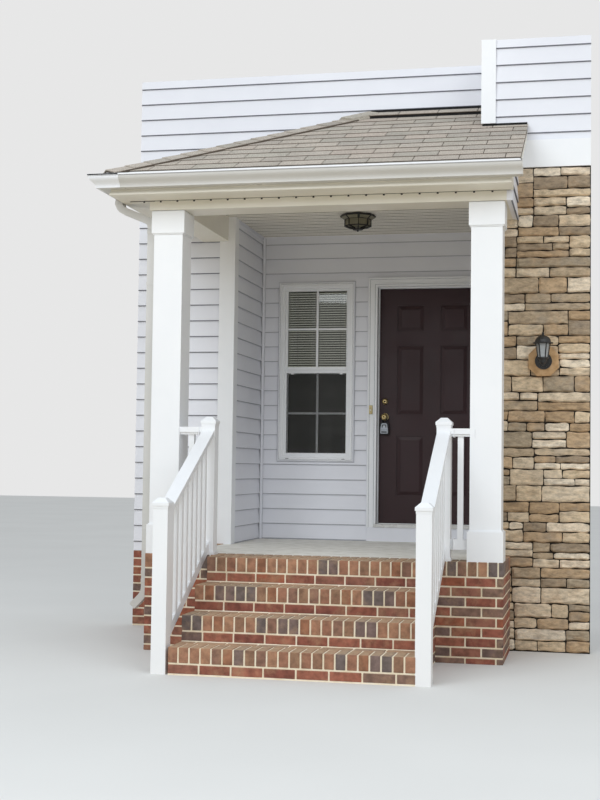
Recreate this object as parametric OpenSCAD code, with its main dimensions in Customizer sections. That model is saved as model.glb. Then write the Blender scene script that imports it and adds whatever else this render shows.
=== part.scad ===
// Raised entrance porch of a house: brick steps between railings, two square
// columns, a hipped lean-to roof, and the recessed front door and window behind.
// X runs to the right along the facade, Y into the house, Z up from the paving.
// The face of the main wall is at Y = 0 and the porch is centred on X = 0.

/* [Steps] */
// Height of one riser
riser = 167; // [140:1:190]
// Depth of one tread
tread = 277; // [240:1:340]
// Number of risers up to the porch floor
riser_count = 4; // [3:1:6]
// Distance of the middle of the flight from the middle of the porch
step_shift = 29; // [0:1:60]
// Depth of the top step in front of the foundation
top_step_depth = 190; // [150:1:300]

/* [Columns] */
// Distance between the column centres
column_spacing = 2238; // [1900:2:2600]
// Side of the square shaft
column_size = 210; // [150:1:260]
// Height from the porch floor to the beam
column_height = 2420; // [2200:1:2700]
// How far the base and the capital stand out from the shaft
column_band_out = 15; // [8:1:25]
// Height of the plain base
column_base_height = 212; // [120:1:280]
// Height of the capital
column_capital_height = 170; // [120:1:220]

/* [Porch] */
// Distance from the main wall to the front of the columns
porch_depth = 1326; // [1000:1:1800]
// Depth of the recess behind the main wall
recess_depth = 957; // [700:1:1200]
// Thickness of the concrete floor
slab_thickness = 100; // [80:1:150]
// Height of the beams
beam_height = 200; // [150:1:260]
// Width of the front beam
beam_width = 243; // [200:1:280]
// Width of the side beams
side_beam_width = 208; // [160:1:240]
// How far the beam stands out from the column shaft
beam_out = 27; // [10:1:40]
// Thickness of the ceiling boards
ceiling_thickness = 20; // [12:1:30]

/* [Roof] */
// Rise of the roof for each millimetre of run
roof_pitch = 0.47; // [0.3:0.01:0.7]
// Distance from the beam to the fascia
eave_overhang = 215; // [120:1:300]
// Distance from the right beam to the raking edge of the roof
rake_overhang = 98; // [60:1:200]
// Height of the soffit above the bottom of the beam
soffit_rise = 67; // [40:1:100]
// Height from the soffit to the top of the roof at the fascia
eave_rise = 172; // [150:1:220]
// Thickness of the roof measured upright
roof_thickness = 46; // [30:1:80]
// Height of the gutter
gutter_height = 89; // [70:1:110]
// Width of the gutter at its rim
gutter_width = 127; // [100:1:150]
// Thickness of the gutter metal
gutter_metal = 3; // [2:0.5:5]
// How far the clad gable stands out from the side beam
gable_out = 40; // [25:1:60]
// Height of the board under the raking edge
rake_board = 50; // [30:1:90]
// Width of the downspout
pipe_width = 51; // [45:1:80]
// Depth of the downspout
pipe_depth = 76; // [60:1:100]

/* [Walls] */
// Thickness of the house walls
wall_thickness = 120; // [110:1:180]
// Height of one siding course
siding_course = 127; // [100:1:150]
// How far the lower edge of a course stands out
siding_step = 12; // [6:1:16]
// Distance from the middle to the left wall of the recess
recess_left = 991; // [900:1:1100]
// Distance from the middle to the side of the projecting wing
wing_side = 1025; // [960:1:1100]
// How far the wing stands in front of the main wall
wing_front = 601; // [400:1:800]
// Distance from the middle to the cut end of the walls
wall_end = 1800; // [1750:1:1950]
// Height of the cut top of the walls above the top of the roof
wall_above = 356; // [100:1:600]
// Height of the brick base of the main wall
wall_base_height = 600; // [450:1:700]
// Clearance between the frieze board and the raking board
frieze_gap = 19.5; // [5:0.5:60]
// Height of the frieze board over the stone
frieze_height = 198; // [150:1:240]

/* [Window] */
// Left edge of the window opening
window_left = -804; // [-830:1:-730]
// Width of the window opening
window_width = 587; // [520:1:660]
// Height of the window sill above the ground
window_sill = 1375; // [1300:1:1500]
// Height of the window opening
window_height = 1467; // [1200:1:1550]
// Width of the flat trim round the window
trim_width = 32; // [24:1:60]
// Thickness of the trim round the window and the door
trim_thickness = 20; // [12:1:30]

/* [Door] */
// Left edge of the door leaf
door_left = 24; // [0:1:40]
// Width of the door leaf
door_width = 914; // [800:1:930]
// Height of the door leaf
door_height = 2010; // [1950:1:2080]
// Height of the foot of the door leaf above the porch floor
door_rise = 150; // [100:1:200]
// Thickness of the door leaf
door_thickness = 44; // [35:1:50]
// Clearance round the door leaf
door_gap = 5; // [5:1:8]
// Thickness of the door jambs
jamb_thickness = 20; // [15:1:30]
// Width of the casing round the door
casing_width = 56; // [40:1:80]

/* [Lights] */
// Radius of the ceiling light's rim
light_radius = 142; // [120:1:160]
// Height of the ceiling light
light_height = 127; // [100:1:150]
// Distance from the middle of the porch to the lantern
lantern_x = 1472; // [1430:1:1560]
// Height of the lantern block's centre above the ground
lantern_z = 2063; // [1800:1:2300]
// Side of the stone block behind the lantern
lantern_block_side = 211; // [180:1:260]
// Thickness of the stone block
lantern_block_depth = 45; // [30:1:60]

/* [Railings] */
// Side of the square newel posts
newel_size = 95; // [80:1:110]
// Length of the level railings between a column and a newel
guard_length = 146.5; // [100:0.5:300]
// Distance of the middle of the two railings from the middle of the porch
newel_shift = 19; // [0:1:40]
// Clearance between the steps and the newels
newel_gap = 10.5; // [2:0.5:20]
// Height of the upper newels above the porch floor
upper_newel_height = 962; // [900:1:1050]
// Height of the lower newels above the ground
lower_newel_height = 1085; // [1000:1:1150]
// Height of a newel cap
newel_cap_height = 50; // [30:1:70]
// Height of the collar under a newel cap
newel_collar = 16; // [8:1:30]
// Thickness of a flat handrail
handrail_thickness = 38; // [30:1:50]
// Width of a flat handrail
handrail_width = 89; // [70:1:100]
// Width of the rail under the handrail
sub_rail_width = 64; // [50:1:80]
// Height of the rail under the handrail
sub_rail_height = 15; // [8:1:25]
// Side of the square balusters
baluster_size = 38; // [30:1:45]
// Largest distance between baluster centres
baluster_pitch = 117; // [90:1:130]
// Height of the level handrail above the porch floor
guard_height = 890; // [800:1:950]

/* [Hidden] */
wall_white = [0.90, 0.90, 0.92];
trim_white = [0.96, 0.96, 0.97];
metal_cream = [0.93, 0.92, 0.88];
brick_red = [0.55, 0.33, 0.27];
concrete_grey = [0.74, 0.73, 0.70];
shingle_taupe = [0.45, 0.41, 0.38];
door_brown = [0.22, 0.16, 0.16];
brass = [0.80, 0.64, 0.35];
glass_grey = [0.35, 0.40, 0.44];
black_metal = [0.12, 0.11, 0.11];
stone_tan = [0.60, 0.53, 0.45];

floor_z = riser * riser_count;
beam_z = floor_z + column_height;
ceiling_z = beam_z + beam_height;
soffit_z = beam_z + soffit_rise;
column_x = column_spacing / 2;
column_y = column_size / 2 - porch_depth;
beam_side = column_x + column_size / 2 + beam_out;
beam_face = -porch_depth - beam_out;
beam_back = beam_face + beam_width;
newel_offset = column_x - column_size / 2 - guard_length - newel_size / 2;
newel_left = newel_shift - newel_offset;
newel_right = newel_shift + newel_offset;
step_width = 2 * newel_offset - newel_size - 2 * newel_gap;
foundation_side = column_x + column_size / 2 + column_band_out;
foundation_face = -porch_depth - column_band_out;
kerb = 194;
step_face = foundation_face - top_step_depth;
fascia_y = beam_face - eave_overhang;
fascia_x = -beam_side - eave_overhang;
rake_x = beam_side + rake_overhang;
gable_x = beam_side + gable_out;
gutter_end = rake_x + 22;
fascia_board = 20;
drip = 25;
roof_top = soffit_z + eave_rise - roof_pitch * fascia_y;
wall_top = roof_top + wall_above;
wing_roof_z = roof_top - roof_pitch * wing_front;
stone_height = wing_roof_z - roof_thickness - rake_board - frieze_gap - frieze_height;
eave_y = fascia_y - drip;
eave_x = fascia_x - drip;
apex_x = eave_x - eave_y;
gutter_z = soffit_z + eave_rise - 42 - gutter_height;
back_face = recess_depth;
back_wall_y = back_face + wall_thickness;
door_z = floor_z + door_rise;
door_y = back_wall_y - door_thickness;
frame_left = door_left - door_gap - jamb_thickness;
frame_right = door_left + door_width + door_gap + jamb_thickness;
frame_top = door_z + door_height + door_gap + jamb_thickness;
window_right = window_left + window_width;
window_top = window_sill + window_height;
siding_foot = floor_z + 9;
corner_depth = 100;
lock_x = door_left + 54;
knob_z = door_z + 904;
hinge_x = door_left + door_width + door_gap / 2;
hinge_y = door_y + door_thickness + 8;
hinge_radius = 8;
hinge_heights = [door_z + 220, door_z + door_height / 2, door_z + door_height - 200];
kick_top = floor_z + 118;
newel_y = newel_size / 2 - porch_depth - 4;
lower_newel_y = step_face - tread * (riser_count - 1) + newel_size / 2;
window_rim = 16;
window_frame_out = 10;
window_frame_depth = 90;
sash_rail = 20;
sash_depth = 28;
meeting_lap = 29;
meeting_z = window_sill + round(window_height * 0.508);
upper_sash_y = back_face + 20;
lower_sash_y = upper_sash_y + sash_depth + 2;
light_y = 40;
light_turn = 12;
light_pan = 46;
light_frame = light_radius * 0.755;
light_glass = light_frame - 8;
light_ring = 94;
light_foot = 40;
frieze_thickness = 18;
deadbolt_z = door_z + 1038;
doorbell_z = floor_z + 1113;
panel_stile = 157;
panel_mullion = 142;
panel_width = (door_width - 2 * panel_stile - panel_mullion) / 2;
panel_columns = [door_left + panel_stile, door_left + door_width - panel_stile - panel_width];
panel_rows = [[236, 509], [926, 591], [1637, 224]];
rail_high_y = newel_y - newel_size / 2;
rail_low_y = lower_newel_y + newel_size / 2;
rail_run = rail_high_y - rail_low_y;
rail_high_z = floor_z + upper_newel_height - 95;
rail_low_z = lower_newel_height - newel_cap_height - newel_collar - 2;
foot_high_z = floor_z + 30;
foot_low_z = riser - 2;
lantern_front = -wing_front - lantern_block_depth;
lantern_out = 118;
lantern_foot_z = 17;
lantern_head_z = 114;
lantern_foot_r = 34;
lantern_head_r = 50;
flashing_leaf = 3;
flashing_height = 20;
vent_depth = 150;
vent_height = 24;
pipe_x = -foundation_side - 8 - pipe_width / 2;
outlet_x = fascia_x - 53;
bend_radius = 46;

// A box given by its low corner and its high corner.
module block(low, high) {
    translate(low)
        cube(high - low);
}

// An outline of forward and height values, extruded along X from x1 to x2.
module along_x(x1, x2) {
    translate([x1, 0, 0])
        rotate([90, 0, 90])
            linear_extrude(height = x2 - x1)
                children();
}

// An outline of X and height values, extruded along Y from y1 to y2.
module along_y(y1, y2) {
    translate([0, y2, 0])
        rotate([90, 0, 0])
            linear_extrude(height = y2 - y1)
                children();
}

// Outline of a clad wall: the face steps out at the foot of each course.
module siding_outline(z1, z2, depth) {
    first = ceil((z1 - siding_foot) / siding_course);
    last = floor((z2 - siding_foot) / siding_course - 0.01);
    function out(z) = let (f = (z - siding_foot) / siding_course)
        siding_step * (f - floor(f));
    laps = [for (k = [first : last]) let (z = siding_foot + siding_course * k)
        each [[siding_step, z], [0, z]]];
    start = first * siding_course + siding_foot > z1 + 0.1 ? [[out(z1), z1]] : [];
    trimmed = len(start) > 0 ? laps : [for (i = [1 : len(laps) - 1]) laps[i]];
    polygon(concat([[depth, z1]], start, trimmed, [[out(z2), z2], [depth, z2]]));
}

// A clad wall whose face looks forward, towards -Y, at y.
module front_siding(x1, x2, y, z1, z2, depth) {
    along_x(x1, x2)
        translate([y, 0])
            siding_outline(z1, z2, depth);
}

// Steps and floor

// Plan of the porch floor, drawn in from its three open sides.
module floor_plan(inset) {
    polygon([
        [-foundation_side + inset, foundation_face + inset],
        [foundation_side - inset, foundation_face + inset],
        [foundation_side - inset, -wing_front],
        [wing_side, -wing_front],
        [wing_side, back_face],
        [-recess_left, back_face],
        [-recess_left, 0],
        [-foundation_side + inset, 0]
    ]);
}

module porch_foundation() {
    color(brick_red)
        difference() {
            linear_extrude(height = floor_z)
                floor_plan(0);
            translate([0, 0, floor_z - slab_thickness])
                linear_extrude(height = slab_thickness + 1)
                    floor_plan(kerb);
        }
}

module porch_floor() {
    color(concrete_grey)
        translate([0, 0, floor_z - slab_thickness])
            linear_extrude(height = slab_thickness)
                floor_plan(kerb);
}

module brick_steps() {
    color(brick_red)
        for (k = [1 : riser_count])
            block([step_shift - step_width / 2, step_face - tread * (riser_count - k), 0],
                [step_shift + step_width / 2,
                    k == riser_count ? foundation_face : step_face - tread * (riser_count - k - 1),
                    riser * k]);
}

// Columns and beams

module column(x) {
    half = column_size / 2;
    wide = half + column_band_out;
    capital_z = column_height - column_capital_height;
    bevel = 8;
    joint = 5;
    color(trim_white)
        translate([x, column_y, floor_z]) {
            block([-half, -half, 0], [half, half, column_height]);
            block([-wide, -wide, 0], [wide, wide, column_base_height - bevel]);
            block([-wide + bevel, -wide + bevel, 0], [wide - bevel, wide - bevel, column_base_height]);
            block([-wide, -wide, capital_z + bevel], [wide, wide, column_height - joint]);
            block([-wide + bevel, -wide + bevel, capital_z], [wide - bevel, wide - bevel, column_height]);
        }
}

module left_column() {
    column(-column_x);
}

module right_column() {
    column(column_x);
}

module front_beam() {
    color(metal_cream)
        block([-beam_side, beam_face, beam_z], [beam_side, beam_back, ceiling_z]);
}

module left_beam() {
    color(metal_cream)
        block([-beam_side, beam_back, beam_z], [-beam_side + side_beam_width, 0, ceiling_z]);
}

module right_beam() {
    color(metal_cream)
        block([beam_side - side_beam_width, beam_back, beam_z], [beam_side, -wing_front, ceiling_z]);
}

// Roof

module slope_outline(run, low, high) {
    polygon([
        [-run, roof_top - roof_pitch * run - low],
        [0, roof_top - low],
        [0, roof_top - high],
        [-run, roof_top - roof_pitch * run - high]
    ]);
}

// Lap siding over the end of the roof space and down the outside of the right beam.
module gable_wall() {
    thickness = 100;
    front = beam_face + 22;
    under = roof_top - roof_thickness;
    color(wall_white)
        difference() {
            intersection() {
                translate([gable_x, 0, 0])
                    along_y(front, -wing_front)
                        mirror([1, 0])
                            siding_outline(beam_z, roof_top, thickness);
                along_x(0, gable_x)
                    polygon([
                        [front, beam_z],
                        [-wing_front, beam_z],
                        [-wing_front, under - roof_pitch * wing_front],
                        [front, under + roof_pitch * front]
                    ]);
            }
            block([0, beam_face, 0], [beam_side, 0, ceiling_z]);
        }
    color(metal_cream)
        block([beam_side, beam_face + 8, beam_z], [gable_x - 4, front + 1, soffit_z]);
}

module front_roof() {
    color(shingle_taupe)
        intersection() {
            along_x(eave_x, rake_x)
                slope_outline(-eave_y, roof_thickness, 0);
            linear_extrude(height = wall_top)
                polygon([
                    [eave_x, eave_y], [rake_x, eave_y], [rake_x, -wing_front],
                    [wing_side, -wing_front], [wing_side, 0], [apex_x, 0]
                ]);
        }
}

module left_roof() {
    color(shingle_taupe)
        intersection() {
            along_y(eave_y, 0)
                translate([apex_x, 0])
                    slope_outline(-eave_y, roof_thickness, 0);
            linear_extrude(height = wall_top)
                polygon([[eave_x, eave_y], [apex_x, 0], [eave_x, 0]]);
        }
}

// The flashings on the walls over the roof, and the vent along the head of the roof.
module roof_flashing() {
    leaf = flashing_leaf;
    head = apex_x - vent_depth;
    foot = roof_top - roof_pitch * vent_depth;
    color(black_metal) {
        block([apex_x, -leaf, roof_top], [wing_side, 0, roof_top + vent_height + 12]);
        block([wing_side, -wing_front - leaf, wing_roof_z],
            [rake_x, -wing_front, wing_roof_z + flashing_height]);
        intersection() {
            along_x(head, wing_side)
                polygon([
                    [-vent_depth, foot], [-vent_depth, foot + vent_height],
                    [0, roof_top + vent_height], [0, roof_top]
                ]);
            linear_extrude(height = wall_top)
                polygon([[head, -vent_depth], [wing_side, -vent_depth], [wing_side, 0], [apex_x, 0]]);
        }
    }
}

// Runs an outline along the front eave from the mitre at the corner.
// The outline holds the distance from the fascia, outwards negative, and the height.
module front_eave_run(x_end) {
    reach = 2 * wall_end;
    x = fascia_x;
    y = fascia_y;
    intersection() {
        along_x(x - reach, x_end)
            translate([y, 0])
                children();
        linear_extrude(height = wall_top)
            polygon([[x - reach, y - reach], [x + reach, y - reach], [x + reach, y + reach]]);
    }
}

// Runs the same outline along the left eave, from the corner to the wall.
module left_eave_run() {
    reach = 2 * wall_end;
    x = fascia_x;
    y = fascia_y;
    intersection() {
        along_y(y - reach, 0)
            translate([x, 0])
                children();
        linear_extrude(height = wall_top)
            polygon([[x - reach, y - reach], [x + reach, y + reach], [x - reach, y + reach]]);
    }
}

// Outline of the fascia, with a lip along its foot.
module fascia_outline(top) {
    lip = 8;
    lip_height = 32;
    polygon([
        [fascia_board, soffit_z],
        [0, soffit_z],
        [-lip, soffit_z + 4],
        [-lip, soffit_z + lip_height - 2 * lip],
        [0, soffit_z + lip_height],
        [0, top],
        [fascia_board, top]
    ]);
}

module fascia() {
    top = soffit_z + eave_rise - roof_thickness;
    rake_top = top - roof_pitch * fascia_y;
    eave_end = gable_x + 6;
    color(metal_cream) {
        front_eave_run(eave_end)
            fascia_outline(top);
        left_eave_run()
            fascia_outline(top);
        along_x(gable_x - 12, eave_end)
            polygon([
                [fascia_y + fascia_board, soffit_z],
                [fascia_y + fascia_board, top],
                [beam_face, rake_top + roof_pitch * beam_face],
                [beam_face, soffit_z]
            ]);
        along_x(eave_end, rake_x)
            polygon([
                [fascia_y, top - rake_board],
                [fascia_y, top],
                [-wing_front, rake_top - roof_pitch * wing_front],
                [-wing_front, rake_top - roof_pitch * wing_front - rake_board]
            ]);
    }
}

module soffit() {
    board = 12;
    color(metal_cream) {
        block([fascia_x + fascia_board, fascia_y + fascia_board, soffit_z],
            [gable_x - board, beam_face, soffit_z + board]);
        block([fascia_x + fascia_board, beam_face, soffit_z], [-beam_side, 0, soffit_z + board]);
    }
}

// Ogee front of the gutter, from the flat bottom at 0 to the rim at 1.
function ogee(t) = let (w = gutter_width, h = gutter_height)
    [-w * (0.62 + 0.34 * t - 0.05 * sin(360 * t)), h * 0.86 * t];

// Outline of the gutter from the fascia outwards, drawn in by the thickness of the metal.
module gutter_outline(inset) {
    steps = 12;
    w = gutter_width;
    h = gutter_height;
    polygon(concat(
        [[-inset, h - 22 + inset], [-inset, inset]],
        [for (k = [0 : steps]) ogee(k / steps) + [inset, k == 0 ? inset : 0]],
        [[-w + inset, h * 0.9], [-w + inset, h + inset]]
    ));
}

module gutter_shell() {
    difference() {
        gutter_outline(0);
        gutter_outline(gutter_metal);
    }
}

// The gutter along the front eave, mitred at the corner and stopped at its right end.
module gutter() {
    color(metal_cream) {
        front_eave_run(gutter_end)
            translate([0, gutter_z])
                gutter_shell();
        along_x(gutter_end - gutter_metal, gutter_end)
            translate([fascia_y, gutter_z])
                gutter_outline(0);
    }
}

// The gutter along the left eave, mitred at the corner and stopped at the wall.
module left_gutter() {
    color(metal_cream) {
        left_eave_run()
            translate([0, gutter_z])
                gutter_shell();
        along_y(-gutter_metal, 0)
            translate([fascia_x, gutter_z])
                gutter_outline(0);
    }
}

// The points of a bend between two straight lengths of the downspout.
function pipe_bend(before, corner, after) =
    let (
        first = corner + bend_radius * (before - corner) / norm(before - corner),
        last = corner + bend_radius * (after - corner) / norm(after - corner)
    )
    [for (t = [0:0.25:1])
        (1 - t) * (1 - t) * first + 2 * t * (1 - t) * corner + t * t * last];

// A point on one side of a route, mitred between the lengths before and after it.
function pipe_side(route, i, side) =
    let (
        before = route[max(i, 1)] - route[max(i, 1) - 1],
        after = route[min(i, len(route) - 2) + 1] - route[min(i, len(route) - 2)],
        a = before / norm(before),
        b = after / norm(after)
    )
    route[i] + side * [-(a[1] + b[1]), a[0] + b[0]] / (1 + a * b);

// The downspout: an outlet under the left gutter, two elbows, a drop beside the
// left column with straps to the column, and a kick-out at the foot.
module downspout() {
    front = column_y - pipe_depth / 2;
    back = column_y + pipe_depth / 2;
    outlet = [outlet_x, gutter_z];
    upper = [outlet_x, soffit_z - 28];
    lower = [pipe_x, beam_z - 62];
    foot = [pipe_x, 385];
    mouth = foot + [-92, -95];
    route = concat(
        [outlet],
        pipe_bend(outlet, upper, lower),
        pipe_bend(upper, lower, foot),
        pipe_bend(lower, foot, mouth),
        [mouth]
    );
    strap = 25;
    band = 2;
    color(metal_cream) {
        along_y(front, back)
            polygon(concat(
                [for (i = [0:len(route) - 1]) pipe_side(route, i, pipe_width / 2)],
                [for (i = [len(route) - 1:-1:0]) pipe_side(route, i, -pipe_width / 2)]
            ));
        for (z = [floor_z - 150, floor_z + 520, beam_z - 520]) {
            seat = z < floor_z ? -foundation_side : -column_x - column_size / 2;
            for (y = [front - band, back])
                block([pipe_x - pipe_width / 2 - band, y, z], [seat, y + band, z + strap]);
            block([pipe_x - pipe_width / 2 - band, front, z], [pipe_x, back, z + strap]);
        }
    }
}

module porch_ceiling() {
    color(metal_cream)
        translate([0, 0, ceiling_z])
            linear_extrude(height = ceiling_thickness)
                polygon([
                    [-beam_side, beam_face], [gable_x - 100, beam_face],
                    [gable_x - 100, -wing_front], [wing_side, -wing_front],
                    [wing_side, back_face], [-recess_left, back_face],
                    [-recess_left, 0], [-beam_side, 0]
                ]);
}

// One bar of the eight-sided light, from the pan down to the ring and in to the foot.
module light_bar() {
    top = -light_pan;
    ring = -light_ring;
    foot = 8 - light_height;
    along_y(-3, 3)
        polygon([
            [light_glass, top], [light_frame, top], [light_frame, ring - 8],
            [light_foot, foot], [light_foot - 10, foot], [light_foot - 10, foot + 10],
            [light_glass, ring]
        ]);
}

// An eight-sided flush light: a pan that tapers under its rim, bars, a ring and a foot.
module ceiling_light() {
    rim = 8;
    rim_foot = 24;
    color(black_metal)
        translate([0, light_y, ceiling_z])
            rotate([0, 0, light_turn]) {
                translate([0, 0, rim - rim_foot])
                    cylinder(h = rim_foot - rim, r = light_radius - 12, $fn = 8);
                translate([0, 0, -rim_foot])
                    cylinder(h = rim, r = light_radius, $fn = 8);
                translate([0, 0, -light_pan])
                    cylinder(h = light_pan - rim_foot, r1 = light_frame, r2 = light_radius, $fn = 8);
                translate([0, 0, -light_height])
                    cylinder(h = 8.01, r = light_foot, $fn = 8);
                translate([0, 0, -light_ring - 8])
                    difference() {
                        cylinder(h = 8, r = light_frame, $fn = 8);
                        translate([0, 0, -1])
                            cylinder(h = 10, r = light_glass, $fn = 8);
                    }
                for (k = [0 : 7])
                    rotate([0, 0, 45 * k])
                        light_bar();
            }
}

// The glass: a straight band down to the ring and a bowl down to the foot.
module ceiling_light_glass() {
    gap = 0.3;
    band = light_glass - gap;
    bowl_foot = 18 + gap - light_height;
    color([0.95, 0.93, 0.85])
        translate([0, light_y, ceiling_z])
            rotate([0, 0, light_turn]) {
                translate([0, 0, -light_ring])
                    cylinder(h = light_ring - light_pan - gap, r = band, $fn = 8);
                translate([0, 0, bowl_foot])
                    cylinder(h = -light_ring - bowl_foot, r1 = light_foot - 10.5, r2 = band, $fn = 8);
            }
}

// House walls

module wall_base() {
    color(brick_red)
        block([-wall_end, siding_step, 0], [-recess_left - siding_step, wall_thickness, wall_base_height]);
}

module main_wall() {
    color(wall_white)
        difference() {
            front_siding(-wall_end, -recess_left - siding_step, 0,
                wall_base_height, wall_top, wall_thickness);
            block([-recess_left - wall_thickness, corner_depth, floor_z],
                [-recess_left, wall_thickness + 1, ceiling_z + ceiling_thickness]);
        }
}

module upper_main_wall() {
    color(wall_white)
        front_siding(-recess_left - siding_step, wing_side, 0,
            ceiling_z + ceiling_thickness, wall_top, wall_thickness);
}

module corner_boards() {
    board = 127;
    upper_board = 97;
    out = 14;
    side_out = 8;
    edge = -recess_left + 6;
    color(trim_white) {
        block([edge - board, -out, floor_z], [edge, 0, beam_z]);
        block([-beam_side + side_beam_width, -out, beam_z], [edge, 0, ceiling_z]);
        block([-recess_left - siding_step, 0, floor_z], [edge, corner_depth, ceiling_z]);
        block([wing_side - side_out, -wing_front - out, wing_roof_z + flashing_height],
            [wing_side + upper_board, -wing_front, wall_top]);
        block([wing_side - side_out, -wing_front, wing_roof_z + flashing_height + 5 + roof_pitch * board],
            [wing_side, -wing_front + board, wall_top]);
    }
}

module left_recess_wall() {
    color(wall_white) {
        translate([-recess_left, 0, 0])
            along_y(corner_depth, back_face)
                mirror([1, 0])
                    siding_outline(floor_z, ceiling_z + ceiling_thickness, wall_thickness);
        block([-recess_left - wall_thickness, wall_thickness, 0], [-recess_left, back_face, floor_z]);
    }
}

module window_wall() {
    color(wall_white)
        difference() {
            union() {
                front_siding(-recess_left - wall_thickness, frame_left, back_face, floor_z,
                    ceiling_z + ceiling_thickness, wall_thickness);
                block([-recess_left - wall_thickness, back_face, 0], [frame_left, back_wall_y, floor_z]);
            }
            block([window_left, back_face - 1, window_sill], [window_right, back_wall_y + 1, window_top]);
        }
}

module wall_over_door() {
    color(wall_white)
        front_siding(frame_left, wing_side, back_face,
            frame_top, ceiling_z + ceiling_thickness, wall_thickness);
}

module wall_under_door() {
    color(brick_red)
        block([frame_left, back_face, 0], [wing_side, back_wall_y, floor_z]);
}

module wall_beside_door() {
    color(wall_white)
        front_siding(frame_right, wing_side, back_face, floor_z, frame_top, wall_thickness);
}

module wing_side_wall() {
    color(wall_white) {
        block([wing_side, -wing_front + wall_thickness, 0],
            [wing_side + wall_thickness, back_wall_y, floor_z]);
        translate([wing_side, 0, 0])
            along_y(-wing_front + wall_thickness, back_wall_y)
                siding_outline(floor_z, wall_top, wall_thickness);
    }
}

module stone_wall() {
    color(stone_tan)
        block([wing_side, -wing_front, 0], [wall_end, -wing_front + wall_thickness, stone_height]);
}

module wing_upper_wall() {
    color(wall_white)
        front_siding(wing_side, wall_end, -wing_front, stone_height, wall_top, wall_thickness);
}

module frieze_board() {
    color(trim_white)
        block([gable_x, -wing_front - frieze_thickness, stone_height],
            [wall_end, -wing_front, stone_height + frieze_height]);
}

// Window

module window_trim() {
    front = back_face - trim_thickness;
    color(trim_white)
        difference() {
            block([window_left - trim_width, front, window_sill - trim_width],
                [window_right + trim_width, back_face, window_top + trim_width]);
            block([window_left, front - 1, window_sill], [window_right, back_face + 1, window_top]);
        }
}

module window_frame() {
    front = back_face - window_frame_out;
    back = back_face + window_frame_depth;
    color(trim_white)
        difference() {
            block([window_left, front, window_sill], [window_right, back, window_top]);
            block([window_left + window_rim, front - 1, window_sill + window_rim],
                [window_right - window_rim, back + 1, window_top - window_rim]);
        }
}

// A sash: a frame from z1 to z2 with its front at y, and its own foot and head rails.
module sash(y, z1, z2, foot, head) {
    left = window_left + window_rim;
    right = window_right - window_rim;
    difference() {
        block([left, y, z1], [right, y + sash_depth, z2]);
        block([left + sash_rail, y - 1, z1 + foot],
            [right - sash_rail, y + sash_depth + 1, z2 - head]);
    }
}

module window_sashes() {
    foot = window_sill + window_rim;
    head = window_top - window_rim;
    rail = 2 * meeting_lap;
    color(trim_white) {
        sash(upper_sash_y, meeting_z - meeting_lap, head, rail, sash_rail);
        sash(lower_sash_y, foot, meeting_z + meeting_lap, sash_rail, rail);
    }
}

module window_glass() {
    edge = window_rim + sash_rail;
    left = window_left + edge;
    right = window_right - edge;
    pane = 6;
    bed = 11;
    color(glass_grey) {
        block([left, upper_sash_y + bed, meeting_z + meeting_lap],
            [right, upper_sash_y + bed + pane, window_top - edge]);
        block([left, lower_sash_y + bed, window_sill + edge],
            [right, lower_sash_y + bed + pane, meeting_z - meeting_lap]);
    }
}

module window_screen() {
    mesh = 6;
    front = upper_sash_y - 6 - mesh;
    color(black_metal)
        block([window_left + window_rim, front, window_sill + window_rim],
            [window_right - window_rim, front + mesh, meeting_z - meeting_lap + sash_rail]);
}

module window_blind() {
    front = back_face + window_frame_depth + 2;
    side_gap = 2;
    color([0.80, 0.80, 0.78])
        block([window_left + side_gap, front, meeting_z - 100],
            [window_right - side_gap, front + 18, window_top]);
}

// Door

module door_frame() {
    inner_left = door_left - door_gap;
    inner_right = door_left + door_width + door_gap;
    inner_top = door_z + door_height + door_gap;
    sill_top = door_z - 6;
    casing = casing_width;
    front = back_face - trim_thickness;
    stop = 12;
    stop_y = door_y - door_gap - 34;
    color(trim_white) {
        block([frame_left, front, sill_top], [inner_left, back_wall_y, frame_top]);
        block([inner_right, front, sill_top], [frame_right, back_wall_y, frame_top]);
        block([inner_left, front, inner_top], [inner_right, back_wall_y, frame_top]);
        block([inner_left, stop_y, sill_top], [inner_left + stop, door_y - door_gap, inner_top]);
        block([inner_right - stop, stop_y, sill_top], [inner_right, door_y - door_gap, inner_top]);
        block([inner_left, stop_y, inner_top - stop], [inner_right, door_y - door_gap, inner_top]);
        block([frame_left - casing, front, kick_top], [frame_left, back_face, frame_top + casing]);
        block([frame_right, front, kick_top], [frame_right + casing, back_face, frame_top + casing]);
        block([frame_left, front, frame_top], [frame_right, back_face, frame_top + casing]);
    }
}

module door_sill() {
    color([0.72, 0.72, 0.72])
        block([frame_left, back_face - 28, kick_top], [frame_right, back_wall_y, door_z - 6]);
}

module kick_board() {
    color(wall_white) {
        block([frame_left - casing_width, back_face - trim_thickness, floor_z],
            [wing_side, back_face, kick_top]);
        block([frame_left, back_face, floor_z], [frame_right, back_wall_y, kick_top]);
    }
}

// One knuckle of a hinge on the inner side of the door, with its plate towards side.
module knuckle(z1, z2, side) {
    plate = 24;
    on_frame = side > 0;
    start = on_frame ? door_left + door_width + door_gap : door_left + door_width - plate;
    translate([hinge_x, hinge_y, z1])
        cylinder(h = z2 - z1, r = hinge_radius, $fn = 32);
    block([start, back_wall_y, z1], [start + plate, back_wall_y + 3, z2]);
}

module door_hinges() {
    color(brass)
        for (z = hinge_heights) {
            knuckle(z - 50, z - 18, 1);
            knuckle(z + 18, z + 50, 1);
        }
}

// The sunk border of a panel.
module panel_recess(x, z, h) {
    block([x, door_y - 1, z], [x + panel_width, door_y + 9, z + h]);
}

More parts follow.
